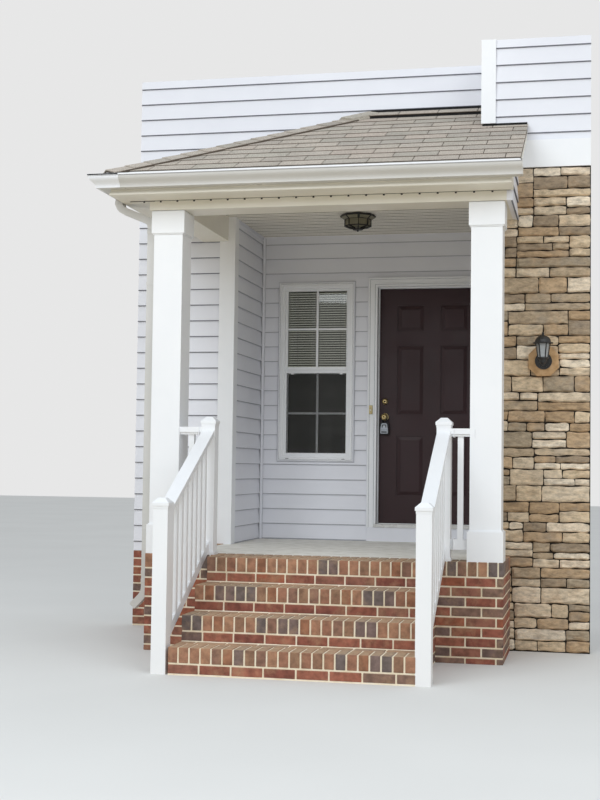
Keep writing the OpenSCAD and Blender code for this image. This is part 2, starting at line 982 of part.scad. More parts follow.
// The raised field of a panel, sloped on all four sides.
module panel_field(x, z, h) {
    intersection() {
        along_x(x, x + panel_width)
            polygon([[door_y + 9.5, z + 8], [door_y + 9, z + 8], [door_y + 2, z + 36],
                [door_y + 2, z + h - 36], [door_y + 9, z + h - 8], [door_y + 9.5, z + h - 8]]);
        translate([0, 0, z])
            linear_extrude(height = h)
                polygon([[x + 8, door_y + 9.5], [x + 8, door_y + 9], [x + 36, door_y + 2],
                    [x + panel_width - 36, door_y + 2], [x + panel_width - 8, door_y + 9],
                    [x + panel_width - 8, door_y + 9.5]]);
    }
}

// One face of the door: the six recesses, or the six raised fields.
module panel_set(raised) {
    for (x = panel_columns)
        for (row = panel_rows)
            if (raised) panel_field(x, door_z + row[0], row[1]);
            else panel_recess(x, door_z + row[0], row[1]);
}

// Its children on both faces of the door.
module both_faces() {
    children();
    translate([0, 2 * door_y + door_thickness, 0])
        mirror([0, 1, 0])
            children();
}

module door_leaf() {
    color(door_brown)
        difference() {
            union() {
                difference() {
                    block([door_left, door_y, door_z],
                        [door_left + door_width, door_y + door_thickness, door_z + door_height]);
                    both_faces()
                        panel_set(false);
                }
                both_faces()
                    panel_set(true);
            }
            translate([lock_x, door_y - 1, knob_z])
                rotate([-90, 0, 0])
                    cylinder(h = door_thickness + 2, r = 12, $fn = 48);
        }
    color(brass)
        for (z = hinge_heights)
            knuckle(z - 17.8, z + 17.8, -1);
}

module door_knob() {
    color(brass)
        translate([lock_x, door_y, knob_z])
            rotate([-90, 0, 0]) {
                translate([0, 0, -62])
                    cylinder(h = door_thickness + 124, r = 11.7, $fn = 48);
                translate([0, 0, -70])
                    cylinder(h = 36, r = 27, $fn = 64);
                translate([0, 0, door_thickness + 34])
                    cylinder(h = 36, r = 27, $fn = 64);
            }
}

module knob_rose() {
    color(brass)
        translate([lock_x, door_y, knob_z])
            rotate([-90, 0, 0])
                difference() {
                    union() {
                        translate([0, 0, -10])
                            cylinder(h = 10, r = 33, $fn = 64);
                        translate([0, 0, door_thickness])
                            cylinder(h = 10, r = 33, $fn = 64);
                    }
                    translate([0, 0, -11])
                        cylinder(h = door_thickness + 22, r = 12, $fn = 48);
                }
}

module deadbolt() {
    color(brass)
        translate([lock_x, door_y, deadbolt_z])
            rotate([-90, 0, 0]) {
                translate([0, 0, -20])
                    cylinder(h = 20, r = 28, $fn = 64);
                translate([0, 0, door_thickness])
                    cylinder(h = 12, r = 28, $fn = 64);
            }
}

module key_box() {
    color([0.50, 0.52, 0.54])
        translate([lock_x, door_y, knob_z]) {
            block([-38, -42, -148], [38, 0, -48]);
            translate([0, -20, 0])
                rotate([90, 0, 0])
                    difference() {
                        union() {
                            cylinder(h = 9, r = 26, $fn = 48);
                            block([-26, -50, 0], [26, 0, 9]);
                        }
                        translate([0, 0, -1])
                            cylinder(h = 11, r = 17, $fn = 48);
                        block([-17, -47, -1], [17, 0, 10]);
                    }
        }
}

module doorbell() {
    front = back_face - trim_thickness;
    color(brass)
        block([frame_left - 41, front - 14, doorbell_z - 37], [frame_left - 13, front, doorbell_z + 37]);
}

// Railings

// A newel post from the height z, with a foot moulding of the given height.
module newel(x, y, z, height, foot) {
    half = newel_size / 2;
    rim = half + 7;
    collar = half + 2;
    base = half + 6;
    top = 22;
    slope = 30;
    neck = height - newel_cap_height;
    color(trim_white)
        translate([x, y, z]) {
            block([-half, -half, 0], [half, half, neck]);
            block([-collar, -collar, neck - newel_collar], [collar, collar, neck]);
            if (foot > 0) block([-base, -base, 0], [base, base, foot]);
            hull() {
                block([-rim, -rim, neck], [rim, rim, height - slope]);
                block([-top, -top, height - 1], [top, top, height]);
            }
        }
}

module left_newels() {
    newel(newel_left, newel_y, floor_z, upper_newel_height, 24);
    newel(newel_left, lower_newel_y, 0, lower_newel_height, 0);
}

module right_newels() {
    newel(newel_right, newel_y, floor_z, upper_newel_height, 24);
    newel(newel_right, lower_newel_y, 0, lower_newel_height, 0);
}

// Heights of the stair rail and of its foot rail at a place along the stairs.
function rail_z(y) = rail_low_z + (rail_high_z - rail_low_z) * (y - rail_low_y) / rail_run;
function foot_z(y) = foot_low_z + (foot_high_z - foot_low_z) * (y - rail_low_y) / rail_run;

module stair_rail(x) {
    foot_height = 70;
    under_top = handrail_thickness - 1;
    count = ceil(rail_run / baluster_pitch);
    color(trim_white) {
        along_x(x - handrail_width / 2, x + handrail_width / 2)
            polygon([[rail_low_y, rail_low_z], [rail_high_y, rail_high_z],
                [rail_high_y, rail_high_z - handrail_thickness],
                [rail_low_y, rail_low_z - handrail_thickness]]);
        along_x(x - sub_rail_width / 2, x + sub_rail_width / 2)
            polygon([[rail_low_y, rail_low_z - under_top], [rail_high_y, rail_high_z - under_top],
                [rail_high_y, rail_high_z - under_top - sub_rail_height],
                [rail_low_y, rail_low_z - under_top - sub_rail_height]]);
        along_x(x - baluster_size / 2, x + baluster_size / 2) {
            polygon([[rail_low_y, foot_low_z], [rail_high_y, foot_high_z],
                [rail_high_y, foot_high_z + foot_height], [rail_low_y, foot_low_z + foot_height]]);
            for (k = [1 : count - 1]) {
                y = rail_low_y + rail_run * k / count;
                a = y - baluster_size / 2;
                b = y + baluster_size / 2;
                polygon([[a, foot_z(a) + 10], [b, foot_z(b) + 10], [b, rail_z(b) - 10], [a, rail_z(a) - 10]]);
            }
        }
    }
}

module left_stair_rail() {
    stair_rail(newel_left);
}

module right_stair_rail() {
    stair_rail(newel_right);
}

// A level railing along X: its outer end is at a column, its inner end at a newel.
module guard_rail(column_end, newel_end) {
    z = floor_z + guard_height;
    y = newel_y;
    side = sign(newel_end - column_end);
    foot_end = column_end + side * column_band_out;
    count = ceil(abs(newel_end - column_end) / baluster_pitch);
    color(trim_white) {
        block([min(column_end, newel_end), y - handrail_width / 2, z - handrail_thickness],
            [max(column_end, newel_end), y + handrail_width / 2, z]);
        block([min(column_end, newel_end), y - sub_rail_width / 2, z - handrail_thickness - sub_rail_height],
            [max(column_end, newel_end), y + sub_rail_width / 2, z - handrail_thickness]);
        block([min(foot_end, newel_end), y - baluster_size / 2, floor_z + 80],
            [max(foot_end, newel_end), y + baluster_size / 2, floor_z + 150]);
        for (k = [1 : count - 1]) {
            x = column_end + (newel_end - column_end) * k / count;
            block([x - baluster_size / 2, y - baluster_size / 2, floor_z + 90],
                [x + baluster_size / 2, y + baluster_size / 2, z - 10]);
        }
    }
}

module left_guard_rail() {
    guard_rail(-column_x + column_size / 2, newel_left - newel_size / 2);
}

module right_guard_rail() {
    guard_rail(column_x - column_size / 2, newel_right + newel_size / 2);
}

// Wall lantern

module lantern_block() {
    half = lantern_block_side / 2;
    cut = lantern_block_side * (1 - sqrt(0.5)) - 4;
    color([0.70, 0.64, 0.56])
        translate([lantern_x, -wing_front, lantern_z])
            rotate([90, 0, 0])
                linear_extrude(height = lantern_block_depth)
                    polygon([
                        [-half, cut - half], [cut - half, -half],
                        [half - cut, -half], [half, cut - half],
                        [half, half - cut], [half - cut, half],
                        [cut - half, half], [-half, half - cut]
                    ]);
}

// A wall lantern: a round plate, an arm, a turned foot, six bars and a bell roof.
module wall_lantern() {
    plate = 60;
    bar = 6;
    color(black_metal) {
        translate([lantern_x, lantern_front, lantern_z])
            rotate([90, 0, 0]) {
                cylinder(h = 10, r = plate, $fn = 64);
                cylinder(h = 18, r = plate - 14, $fn = 64);
                cylinder(h = lantern_out - 12, r = 13, $fn = 32);
            }
        translate([lantern_x, lantern_front - lantern_out, lantern_z]) {
            rotate_extrude($fn = 48)
                polygon([
                    [0, -44], [10, -40], [13, -30], [22, -22], [26, -6],
                    [lantern_foot_r - 2, 6], [lantern_foot_r + 6, 8],
                    [lantern_foot_r + 6, lantern_foot_z], [0, lantern_foot_z]
                ]);
            rotate_extrude($fn = 48)
                polygon([
                    [0, lantern_head_z], [70, lantern_head_z], [72, lantern_head_z + 6],
                    [58, lantern_head_z + 9], [54, lantern_head_z + 26], [44, lantern_head_z + 42],
                    [28, lantern_head_z + 53], [12, lantern_head_z + 58], [7, lantern_head_z + 66],
                    [10, lantern_head_z + 72], [6, lantern_head_z + 80], [0, lantern_head_z + 82]
                ]);
            for (k = [0 : 5])
                rotate([0, 0, 60 * k])
                    along_y(-bar / 2, bar / 2)
                        polygon([
                            [lantern_foot_r - 2, lantern_foot_z], [lantern_foot_r + 4, lantern_foot_z],
                            [lantern_head_r + 4, lantern_head_z], [lantern_head_r - 2, lantern_head_z]
                        ]);
        }
    }
}

module lantern_glass() {
    color(glass_grey)
        translate([lantern_x, lantern_front - lantern_out, lantern_z + lantern_foot_z])
            cylinder(h = lantern_head_z - lantern_foot_z,
                r1 = lantern_foot_r - 3, r2 = lantern_head_r - 3, $fn = 6);
}

porch_foundation();
porch_floor();
brick_steps();
left_column();
right_column();
front_beam();
left_beam();
right_beam();
gable_wall();
front_roof();
left_roof();
roof_flashing();
fascia();
soffit();
gutter();
left_gutter();
downspout();
porch_ceiling();
ceiling_light();
ceiling_light_glass();
wall_base();
main_wall();
upper_main_wall();
corner_boards();
left_recess_wall();
window_wall();
wall_over_door();
wall_under_door();
wall_beside_door();
wing_side_wall();
stone_wall();
wing_upper_wall();
frieze_board();
window_trim();
window_frame();
window_sashes();
window_glass();
window_screen();
window_blind();
door_frame();
door_sill();
kick_board();
door_hinges();
door_leaf();
door_knob();
knob_rose();
deadbolt();
key_box();
doorbell();
left_newels();
right_newels();
left_stair_rail();
right_stair_rail();
left_guard_rail();
right_guard_rail();
lantern_block();
wall_lantern();
lantern_glass();
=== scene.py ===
"""Looks of the entrance porch: materials, brickwork, shingles, stone and fittings on the CAD frame."""

import math
import random

import bmesh
import bpy
import numpy as np
from mathutils import Matrix, Vector, noise


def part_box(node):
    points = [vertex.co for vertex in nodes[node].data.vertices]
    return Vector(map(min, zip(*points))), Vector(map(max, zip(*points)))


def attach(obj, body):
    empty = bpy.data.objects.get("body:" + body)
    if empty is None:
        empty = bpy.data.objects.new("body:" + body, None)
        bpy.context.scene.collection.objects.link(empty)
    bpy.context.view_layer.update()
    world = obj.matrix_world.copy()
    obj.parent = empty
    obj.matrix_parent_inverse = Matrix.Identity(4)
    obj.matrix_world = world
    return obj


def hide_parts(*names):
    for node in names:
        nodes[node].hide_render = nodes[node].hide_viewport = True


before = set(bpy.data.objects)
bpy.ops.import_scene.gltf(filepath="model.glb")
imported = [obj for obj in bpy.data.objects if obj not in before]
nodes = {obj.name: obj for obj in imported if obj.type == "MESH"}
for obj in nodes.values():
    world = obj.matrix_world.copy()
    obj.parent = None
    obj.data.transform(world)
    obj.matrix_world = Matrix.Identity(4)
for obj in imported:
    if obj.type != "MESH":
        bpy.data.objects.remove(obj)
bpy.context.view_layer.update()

MM = 0.001
chance = random.Random(11)

# Values shared with the construction: lengths in millimetres, and PITCH as rise over run.
RISER, TREAD, STEPS = 167, 277, 4
STEP_LEFT, STEP_RIGHT, STEP_FACE = -733, 791, -1531
FLOOR, CEILING, SOFFIT = 668, 3288, 3155
SIDE, FRONT, KERB = 1239, -1341, 194
WALL_END, WALL_TOP, WALL_FOOT = 1800, 4420, 600
WING_FRONT, WING_SIDE, STONE_TOP = -601, 1025, 3467.99
RECESS_LEFT, RECESS_BACK, CORNER = -991, 957, 100
SIDING_FOOT, COURSE = 677, 127
GABLE_X, GABLE_FRONT, BEAM_FOOT, BEAM_FACE = 1291, -1331, 3088, -1353
EAVE_X, EAVE_Y, APEX_X, RAKE_X = -1491, -1593, 102, 1349
FASCIA_X, FASCIA_Y, GUTTER_FOOT = -1466, -1568, 3196
GUTTER_WIDE, GUTTER_HIGH, GUTTER_END = 127, 89, 1371
ROOF_TOP, PITCH, ROOF_THICK = 4063.96, 0.47, 46
VENT_DEPTH, VENT_HIGH = 150, 24
PIPE_X, PIPE_Y, PIPE_WIDE, PIPE_DEEP = -1272.5, -1221, 51, 76
WINDOW = (-804, -217, 1375, 2842)
PANE_LEFT, PANE_RIGHT = -768, -253
DOOR = (24, 938, 818, 2828)
DOOR_FACE, DOOR_BACK = 1033, 1077
LOCK_X, KNOB_Z, BOLT_Z = 78, 1722, 1856
FRAME_LEFT, FRAME_RIGHT, FRAME_TOP, CASING = -1, 963, 2853, 56
BELL = (-42, -14, 1744, 1818)
LAMP = (0, 40)
LANTERN = (1472, -764)
KICK_TOP, BEAM_WIDE, BEAM_INNER = 786, 243, 1043
GUARD_HIGH, GUARD_LONG, NEWEL_Y, NEWEL_HALF = 890, 146.5, -1282.5, 47.5

# The middle of each newel at the floor, and the side that the steps are on.
NEWELS = ((-820, 1), (858, -1))

# A plane just behind the face of the white trim, and the front of the thin lines drawn on it.
TRIM_IN, LINE_FACE = 938, 936.2

# Sizes of bricks and joints, in millimetres.
BRICK_LONG, BRICK_HIGH, BRICK_DEEP = 192.8, 55.8, 92
JOINT, PROUD, ROWLOCK_PITCH = 10.4, 3.5, 69.25

# The second tone of a brick, which tells its kind.
ROWLOCK, STRETCHER = 0.25, 0.75


# Small solids

CORNERS = [(x, y, z) for x in (-1, 1) for y in (-1, 1) for z in (-1, 1)]
POINTS = [(c, a) for c in CORNERS for a in range(3)]


def box_faces():
    """Faces of a box with broken edges, over the 24 points of POINTS."""
    at = {p: i for i, p in enumerate(POINTS)}

    def corner(a, s, b, p, c, q):
        sign = [0, 0, 0]
        sign[a], sign[b], sign[c] = s, p, q
        return tuple(sign)

    faces = []
    for a in range(3):
        b, c = (a + 1) % 3, (a + 2) % 3
        for s in (-1, 1):
            flat = [at[corner(a, s, b, p, c, q), a] for p, q in ((-1, -1), (1, -1), (1, 1), (-1, 1))]
            faces.append(flat[::s])
            for t in (-1, 1):
                low, high = corner(a, -1, b, s, c, t), corner(a, 1, b, s, c, t)
                edge = [at[low, b], at[high, b], at[high, c], at[low, c]]
                faces.append(edge if s * t < 0 else edge[::-1])
    for c in CORNERS:
        tri = [at[c, a] for a in range(3)]
        faces.append(tri if c[0] * c[1] * c[2] > 0 else tri[::-1])
    return faces


BOX_FACES = box_faces()
BOX_SIGN = np.array([c for c, _ in POINTS], float)
BOX_INSET = np.array([[float(k != a) for k in range(3)] for _, a in POINTS])


def axes(origin, along, up, out):
    """Places local x, y, z along three directions from an origin."""
    m = Matrix((along, up, out)).transposed().to_4x4()
    m.translation = Vector(origin)
    return m


def around(x, y, radius, angle, z):
    """A point at a radius and an angle from an upright axis."""
    return (x + radius * math.cos(angle), y + radius * math.sin(angle), z)


def ring(radius, z, sides):
    """Points of a circle at a height."""
    return [around(0.0, 0.0, radius, 2 * math.pi * k / sides, z) for k in range(sides)]


class Work:
    """Many small solids gathered in one mesh, in millimetres, each with its own tone."""

    def __init__(self):
        self.points, self.faces, self.tones, self.count = [], [], [], 0

    def add(self, points, faces, place=None, tone=None):
        points = np.asarray(points, float)
        if place is not None:
            m = np.array(place)
            points = points @ m[:3, :3].T + m[:3, 3]
        if tone is None:
            tone = (chance.random(), chance.random(), chance.random())
        self.points.append(points)
        self.tones.append(np.tile((*tone, 1.0), (len(points), 1)))
        self.faces += [[i + self.count for i in f] for f in faces]
        self.count += len(points)

    def box(self, low, high, bevel=1.0, place=None, tone=None):
        low, high = np.minimum(low, high).astype(float), np.maximum(low, high).astype(float)
        half = (high - low) / 2
        cut = min(bevel, 0.45 * half.min())
        self.add((low + high) / 2 + BOX_SIGN * (half - cut * BOX_INSET), BOX_FACES, place, tone)

    def skin(self, rows, place=None, ends="caps"):
        """A tube through rows of points: its ends are capped, or joined to each other ("loop")."""
        wide, tall = len(rows[0]), len(rows)
        turns = tall if ends == "loop" else tall - 1
        faces = [
            [r * wide + c, r * wide + (c + 1) % wide,
             (r + 1) % tall * wide + (c + 1) % wide, (r + 1) % tall * wide + c]
            for r in range(turns)
            for c in range(wide)
        ]
        if ends == "caps":
            faces += [list(range(wide))[::-1], [(tall - 1) * wide + c for c in range(wide)]]
        self.add([p for row in rows for p in row], faces, place)

    def turn(self, profile, at, axis="Z", sides=24, ends="caps"):
        """A solid of revolution from (radius, height) pairs, about an axis through a point."""
        rows = [ring(r, h, sides) for r, h in profile]
        lay = {"Z": Matrix.Identity(4), "X": Matrix.Rotation(math.pi / 2, 4, "Y"),
               "Y": Matrix.Rotation(-math.pi / 2, 4, "X")}
        self.skin(rows, Matrix.Translation(at) @ lay[axis], ends)

    def border(self, x0, x1, z0, z1, width, y0, y1, bevel=1.0, sides="LRTB"):
        """A flat frame facing forward, inside a rectangle of X and height."""
        for side, low, high in (
            ("L", (x0, z0), (x0 + width, z1)),
            ("R", (x1 - width, z0), (x1, z1)),
            ("T", (x0 + width, z1 - width), (x1 - width, z1)),
            ("B", (x0 + width, z0), (x1 - width, z0 + width)),
        ):
            if side in sides:
                self.box((low[0], y0, low[1]), (high[0], y1, high[1]), bevel)

    def make(self, name, finish, slot, body="porch", smooth=False):
        """One object of all the solids, with their faces turned outwards, riding on a body."""
        mesh = bpy.data.meshes.new(name)
        mesh.from_pydata((np.concatenate(self.points) * MM).tolist(), [], self.faces)
        solids = bmesh.new()
        solids.from_mesh(mesh)
        bmesh.ops.recalc_face_normals(solids, faces=solids.faces)
        solids.to_mesh(mesh)
        solids.free()
        tone = mesh.color_attributes.new("tone", "FLOAT_COLOR", "POINT")
        tone.data.foreach_set("color", np.concatenate(self.tones).ravel())
        if smooth:
            mesh.shade_smooth()
            mesh.set_sharp_from_angle(angle=math.radians(38))
        piece = bpy.data.objects.new(name, mesh)
        bpy.context.scene.collection.objects.link(piece)
        piece.data.materials.append(finish)
        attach(piece, body)
        return piece


# Materials


def rgb(text):
    """Linear colour from a hex string."""
    parts = [int(text[i : i + 2], 16) / 255 for i in (0, 2, 4)]
    return (*[c / 12.92 if c <= 0.04045 else ((c + 0.055) / 1.055) ** 2.4 for c in parts], 1.0)


class Nodes:
    """Short calls for the nodes of a shader tree."""

    def __init__(self, tree):
        self.tree = tree

    def node(self, kind, inputs=(), **settings):
        node = self.tree.nodes.new("ShaderNode" + kind)
        for key, value in settings.items():
            setattr(node, key, value)
        for key, value in dict(inputs).items():
            if isinstance(value, bpy.types.NodeSocket):
                self.tree.links.new(value, node.inputs[key])
            else:
                node.inputs[key].default_value = value
        return node

    def mix(self, fac, a, b, blend="MIX"):
        return self.node("Mix", {0: fac, 6: a, 7: b}, data_type="RGBA", blend_type=blend).outputs[2]

    def math(self, kind, a, b=0.0):
        return self.node("Math", {0: a, 1: b}, operation=kind).outputs[0]

    def span(self, value, low, high, to_low=0.0, to_high=1.0):
        inputs = {"Value": value, 1: low, 2: high, 3: to_low, 4: to_high}
        return self.node("MapRange", inputs).outputs["Result"]

    def seen(self):
        """One where a surface is seen by the camera, in a reflection or through glass."""
        path = self.node("LightPath").outputs
        mirrored = self.math("MAXIMUM", path["Is Glossy Ray"], path["Is Transmission Ray"])
        return self.math("MAXIMUM", path["Is Camera Ray"], mirrored)


class Finish(Nodes):
    """A node material: a Principled shader and the nodes that feed it."""

    def __init__(self, name, roughness=0.5, **sockets):
        self.material = bpy.data.materials.new(name)
        self.material.use_nodes = True
        super().__init__(self.material.node_tree)
        self.shader = self.tree.nodes["Principled BSDF"]
        self.shader.inputs["Roughness"].default_value = roughness
        for socket, value in sockets.items():
            self.shader.inputs[socket.replace("_", " ")].default_value = value
        self.place = self.node("TexCoord").outputs["Object"]

    def stretch(self, x, y, z):
        return self.node("Mapping", {"Vector": self.place, "Scale": (x, y, z)}).outputs["Vector"]

    def noise(self, scale, detail=3.0, vector=None, rough=0.55):
        inputs = {"Vector": vector or self.place, "Scale": scale, "Detail": detail, "Roughness": rough}
        return self.node("TexNoise", inputs).outputs["Fac"]

    def ramp(self, fac, stops, mode="LINEAR"):
        node = self.node("ValToRGB", {"Fac": fac})
        node.color_ramp.interpolation = mode
        while len(node.color_ramp.elements) < len(stops):
            node.color_ramp.elements.new(0.5)
        for element, (at, colour) in zip(node.color_ramp.elements, stops):
            element.position = at
            element.color = rgb(colour) if isinstance(colour, str) else (colour, colour, colour, 1)
        return node.outputs["Color"]

    def fade(self, fac, low, high, start=0.3, end=0.7):
        """A blend from one colour or value to another, between two levels of a value."""
        return self.ramp(fac, [(start, low), (end, high)])

    def shades(self, fac, colours):
        """One of several shades, picked by a value from 0 to 1."""
        colours = colours.split()
        return self.ramp(fac, [(k / len(colours), c) for k, c in enumerate(colours)], "CONSTANT")

    def tone(self, channel=0):
        colour = self.node("Attribute", attribute_name="tone").outputs["Color"]
        return self.node("SeparateColor", {"Color": colour}).outputs[channel]

    def facing(self, axis):
        """How far a surface faces along an axis of the object."""
        normal = self.node("NewGeometry").outputs["Normal"]
        return self.node("SeparateXYZ", {"Vector": normal}).outputs[axis]

    def set(self, socket, value):
        self.tree.links.new(value, self.shader.inputs[socket])

    def bump(self, height, depth, strength=1.0, under=None):
        inputs = {"Height": height, "Distance": depth * MM, "Strength": strength}
        if under:
            inputs["Normal"] = under
        return self.node("Bump", inputs).outputs["Normal"]


def mottled(name, colours, scale, roughness, grain, detail=4.0):
    """A colour that wanders between a few shades, with one or more grains of (scale, depth in mm)."""
    f = Finish(name, roughness)
    colours = colours.split()
    step = 0.4 / (len(colours) - 1)
    stops = [(0.3 + k * step, c) for k, c in enumerate(colours)]
    f.set("Base Color", f.ramp(f.noise(scale, detail), stops))
    normal = None
    for fine, depth in grain:
        normal = f.bump(f.noise(fine, 3.0), depth, 1.0, normal)
    f.set("Normal", normal)
    return f.material


def brick_finish():
    """Browner bricks on edge, redder ones laid flat, blotched and pitted, with mortar dust on their tops."""
    f = Finish("brick", 0.85)
    edge = f.shades(f.tone(0), "9f715a 8e6a59 7d6963 a87b61 947059 726561 9d6c51 ae8266")
    flat = f.shades(f.tone(0), "9a5c4b 8b5244 a26551 78625b 925847 886b5d 9d5c44 966453")
    base = f.mix(f.math("GREATER_THAN", f.tone(1), 0.5), edge, flat)
    blotch = f.fade(f.noise(22.0, 5.0), 0.62, 1.16, 0.35, 0.64)
    base = f.mix(0.85, base, blotch, "MULTIPLY")
    bloom = f.fade(f.noise(10.0, 6.0, rough=0.7), 0.0, 1.0, 0.5, 0.74)
    base = f.mix(f.math("MULTIPLY", bloom, 0.45), base, rgb("c2a07c"))
    on_top, patchy = f.span(f.facing("Z"), 0.5, 0.95), f.span(f.noise(30.0, 4.0), 0.3, 0.7, 0.35, 0.9)
    dust = f.math("MULTIPLY", on_top, patchy)
    f.set("Base Color", f.mix(dust, base, rgb("c4a98a")))
    pits = f.fade(f.noise(420.0, 3.0), 0.0, 1.0, 0.36, 0.5)
    f.set("Normal", f.bump(f.noise(60.0, 5.0), 1.6, 0.8, f.bump(pits, 0.8, 0.7)))
    return f.material


def shingle_finish():
    """Mineral granules in taupe and grey over each tab, with a slow drift across the slope."""
    f = Finish("shingle_granules", 0.92)
    base = f.ramp(f.tone(0), [(0.0, "c0b6a9"), (0.3, "c8bdb0"), (0.5, "b9b1a6"), (0.7, "c6b8ab"),
                              (0.85, "beb7aa"), (1.0, "b5aca1")])
    granule = f.ramp(f.noise(520.0, 2.0), [(0.32, 0.5), (0.5, 0.88), (0.68, 1.25)])
    base = f.mix(0.85, base, granule, "MULTIPLY")
    speck = f.ramp(f.noise(150.0, 3.0, rough=0.7), [(0.36, 0.66), (0.5, 1.03), (0.64, 1.34)])
    base = f.mix(0.9, base, speck, "MULTIPLY")
    drift = f.fade(f.noise(5.0, 4.0), 0.88, 1.06, 0.35, 0.65)
    f.set("Base Color", f.mix(0.8, base, drift, "MULTIPLY"))
    f.set("Normal", f.bump(f.noise(700.0, 2.0), 1.2, 0.9))
    return f.material


def stone_finish():
    """Split stone in tans and greys: a tone to each stone, broad stains and a chipped, rough face."""
    f = Finish("ledgestone", 0.9)
    base = f.shades(f.tone(0), "d3c1a8 b39f85 e6d7c1 9c8a74 cdb89b ad9374 ddccb5 a5957f cfbba0 b99f80")
    chips = f.ramp(f.noise(16.0, 7.0, f.stretch(1.0, 1.0, 2.2), 0.7), [(0.3, 0.52), (0.5, 1.09), (0.68, 1.5)])
    base = f.mix(0.9, base, chips, "MULTIPLY")
    rust = f.fade(f.noise(7.0, 5.0, rough=0.65), 0.0, 1.0, 0.55, 0.72)
    base = f.mix(f.math("MULTIPLY", rust, 0.3), base, rgb("bd9468"))
    grey = f.fade(f.noise(4.0, 5.0, f.stretch(1, 1, 1.6), 0.65), 0.0, 1.0, 0.53)
    f.set("Base Color", f.mix(f.math("MULTIPLY", grey, 0.45), base, rgb("9b9287")))
    rough = f.noise(26.0, 7.0, f.stretch(1.0, 1.0, 2.0), 0.7)
    f.set("Normal", f.bump(rough, 10.0, 1.0, f.bump(f.noise(150.0, 4.0), 2.0, 0.9)))
    return f.material


def joint_shade_finish():
    """Dark mortar behind the stones, darkened to near black as painted shade in the gaps, and plain grey
    block on the other sides of their wall.
    """
    f = Finish("stone_joint_shade", 0.95)
    front, left = (f.math("MULTIPLY", f.facing(axis), -1.0) for axis in "YX")
    faced = f.math("MAXIMUM", front, left)
    # Painted shade: the joints are near black, darker than the mortar itself.
    dark = f.fade(f.noise(20.0, 4.0), "1b1510", "2e251d")
    block = f.fade(f.noise(9.0, 5.0), "a39c90", "b5aea3")
    f.set("Base Color", f.mix(f.math("GREATER_THAN", faced, 0.5), block, dark))
    f.set("Normal", f.bump(f.noise(120.0), 2.0))
    return f.material


def vinyl_finish(name, low, high, roughness, emboss):
    """Vinyl with a faint soil and, where asked, an embossed wood grain along each board."""
    f = Finish(name, roughness)
    f.set("Base Color", f.fade(f.noise(1.3, 5.0), low, high, 0.3, 0.65))
    if emboss:
        grain = f.noise(5.0, 5.0, f.stretch(2.0, 2.0, 60.0), 0.7)
        f.set("Normal", f.bump(grain, 0.7, 0.7))
    else:
        f.set("Normal", f.bump(f.noise(14.0, 2.0), 0.35, 0.5))
    return f.material


def metal_coat(name, low, high, roughness, ripple=0.5):
    """Coated sheet metal with a slow ripple, and a roughness that varies a little."""
    f = Finish(name, roughness)
    f.set("Base Color", f.fade(f.noise(2.1, 5.0), low, high))
    f.set("Roughness", f.fade(f.noise(7.0, 3.0), roughness - 0.06, roughness + 0.08))
    f.set("Normal", f.bump(f.noise(3.5, 1.0), ripple, 0.6))
    return f.material


def board_finish():
    """Vinyl ceiling boards, with a faint grain along their length."""
    f = Finish("ceiling_board", 0.5)
    f.set("Base Color", f.fade(f.noise(1.7, 4.0), "efeadf", "f5f2e9"))
    f.set("Normal", f.bump(f.noise(8.0, 3.0, f.stretch(1.0, 30.0, 1.0)), 0.5, 0.5))
    return f.material


def door_finish():
    """Dark brown paint over embossed steel, with an upright grain and a patchy satin sheen."""
    f = Finish("door_paint", 0.42, Specular_IOR_Level=0.3)
    f.set("Base Color", f.fade(f.noise(2.5, 4.0), "301d1f", "392427"))
    f.set("Roughness", f.fade(f.noise(5.0, 4.0), 0.38, 0.52))
    f.set("Normal", f.bump(f.noise(7.0, 5.0, f.stretch(40.0, 40.0, 1.5)), 0.5, 0.6))
    return f.material


def polished(name, low, high, roughness, brushed=0.0):
    """Bare metal with a little tarnish and, where asked, brush marks along X."""
    f = Finish(name, roughness, Metallic=1.0)
    f.set("Base Color", f.fade(f.noise(18.0, 4.0), low, high))
    f.set("Roughness", f.fade(f.noise(40.0, 4.0), roughness * 0.7, roughness * 1.4, 0.35))
    if brushed:
        f.set("Normal", f.bump(f.noise(6.0, 3.0, f.stretch(2.0, 90.0, 90.0)), brushed, 0.6))
    return f.material


def window_finish():
    """Panes tinted grey above, where the blind shows through, and near black below as painted shade for an
    unlit room.
    """
    f = Finish("window_glass", 0.02, IOR=1.5, Transmission_Weight=1.0)
    height = f.node("SeparateXYZ", {"Vector": f.place}).outputs["Z"]
    # Painted shade: the lower panes are near black.
    lower = f.math("LESS_THAN", height, 2.12)
    f.set("Base Color", f.mix(lower, rgb("8f9186"), rgb("161715")))
    f.set("Normal", f.bump(f.noise(0.9, 0.0), 0.4, 0.15))
    return f.material


def lamp_finish(name, frost, low="e9ebe6", high="f6f6f2", through=1.0):
    """Lamp glass, from clear to frosted, that lets part of the light through."""
    f = Finish(name, frost, IOR=1.46, Transmission_Weight=through)
    f.set("Base Color", f.fade(f.noise(20.0, 2.0), low, high))
    f.set("Normal", f.bump(f.noise(34.0, 3.0), 0.6, 0.5))
    return f.material


def screen_finish():
    """Insect mesh: wires 0.22 mm thick and 1.4 mm apart, with nothing between them."""
    f = Finish("screen_mesh", 0.6)
    f.set("Base Color", f.fade(f.noise(3.0, 3.0), "32312e", "3e3d39"))
    spot = f.node("SeparateXYZ", {"Vector": f.place})
    wires = []
    for axis in "XZ":
        across = f.math("PINGPONG", spot.outputs[axis], 0.7 * MM)
        wires.append(f.math("LESS_THAN", across, 0.11 * MM))
    f.set("Alpha", f.math("MAXIMUM", *wires))
    return f.material


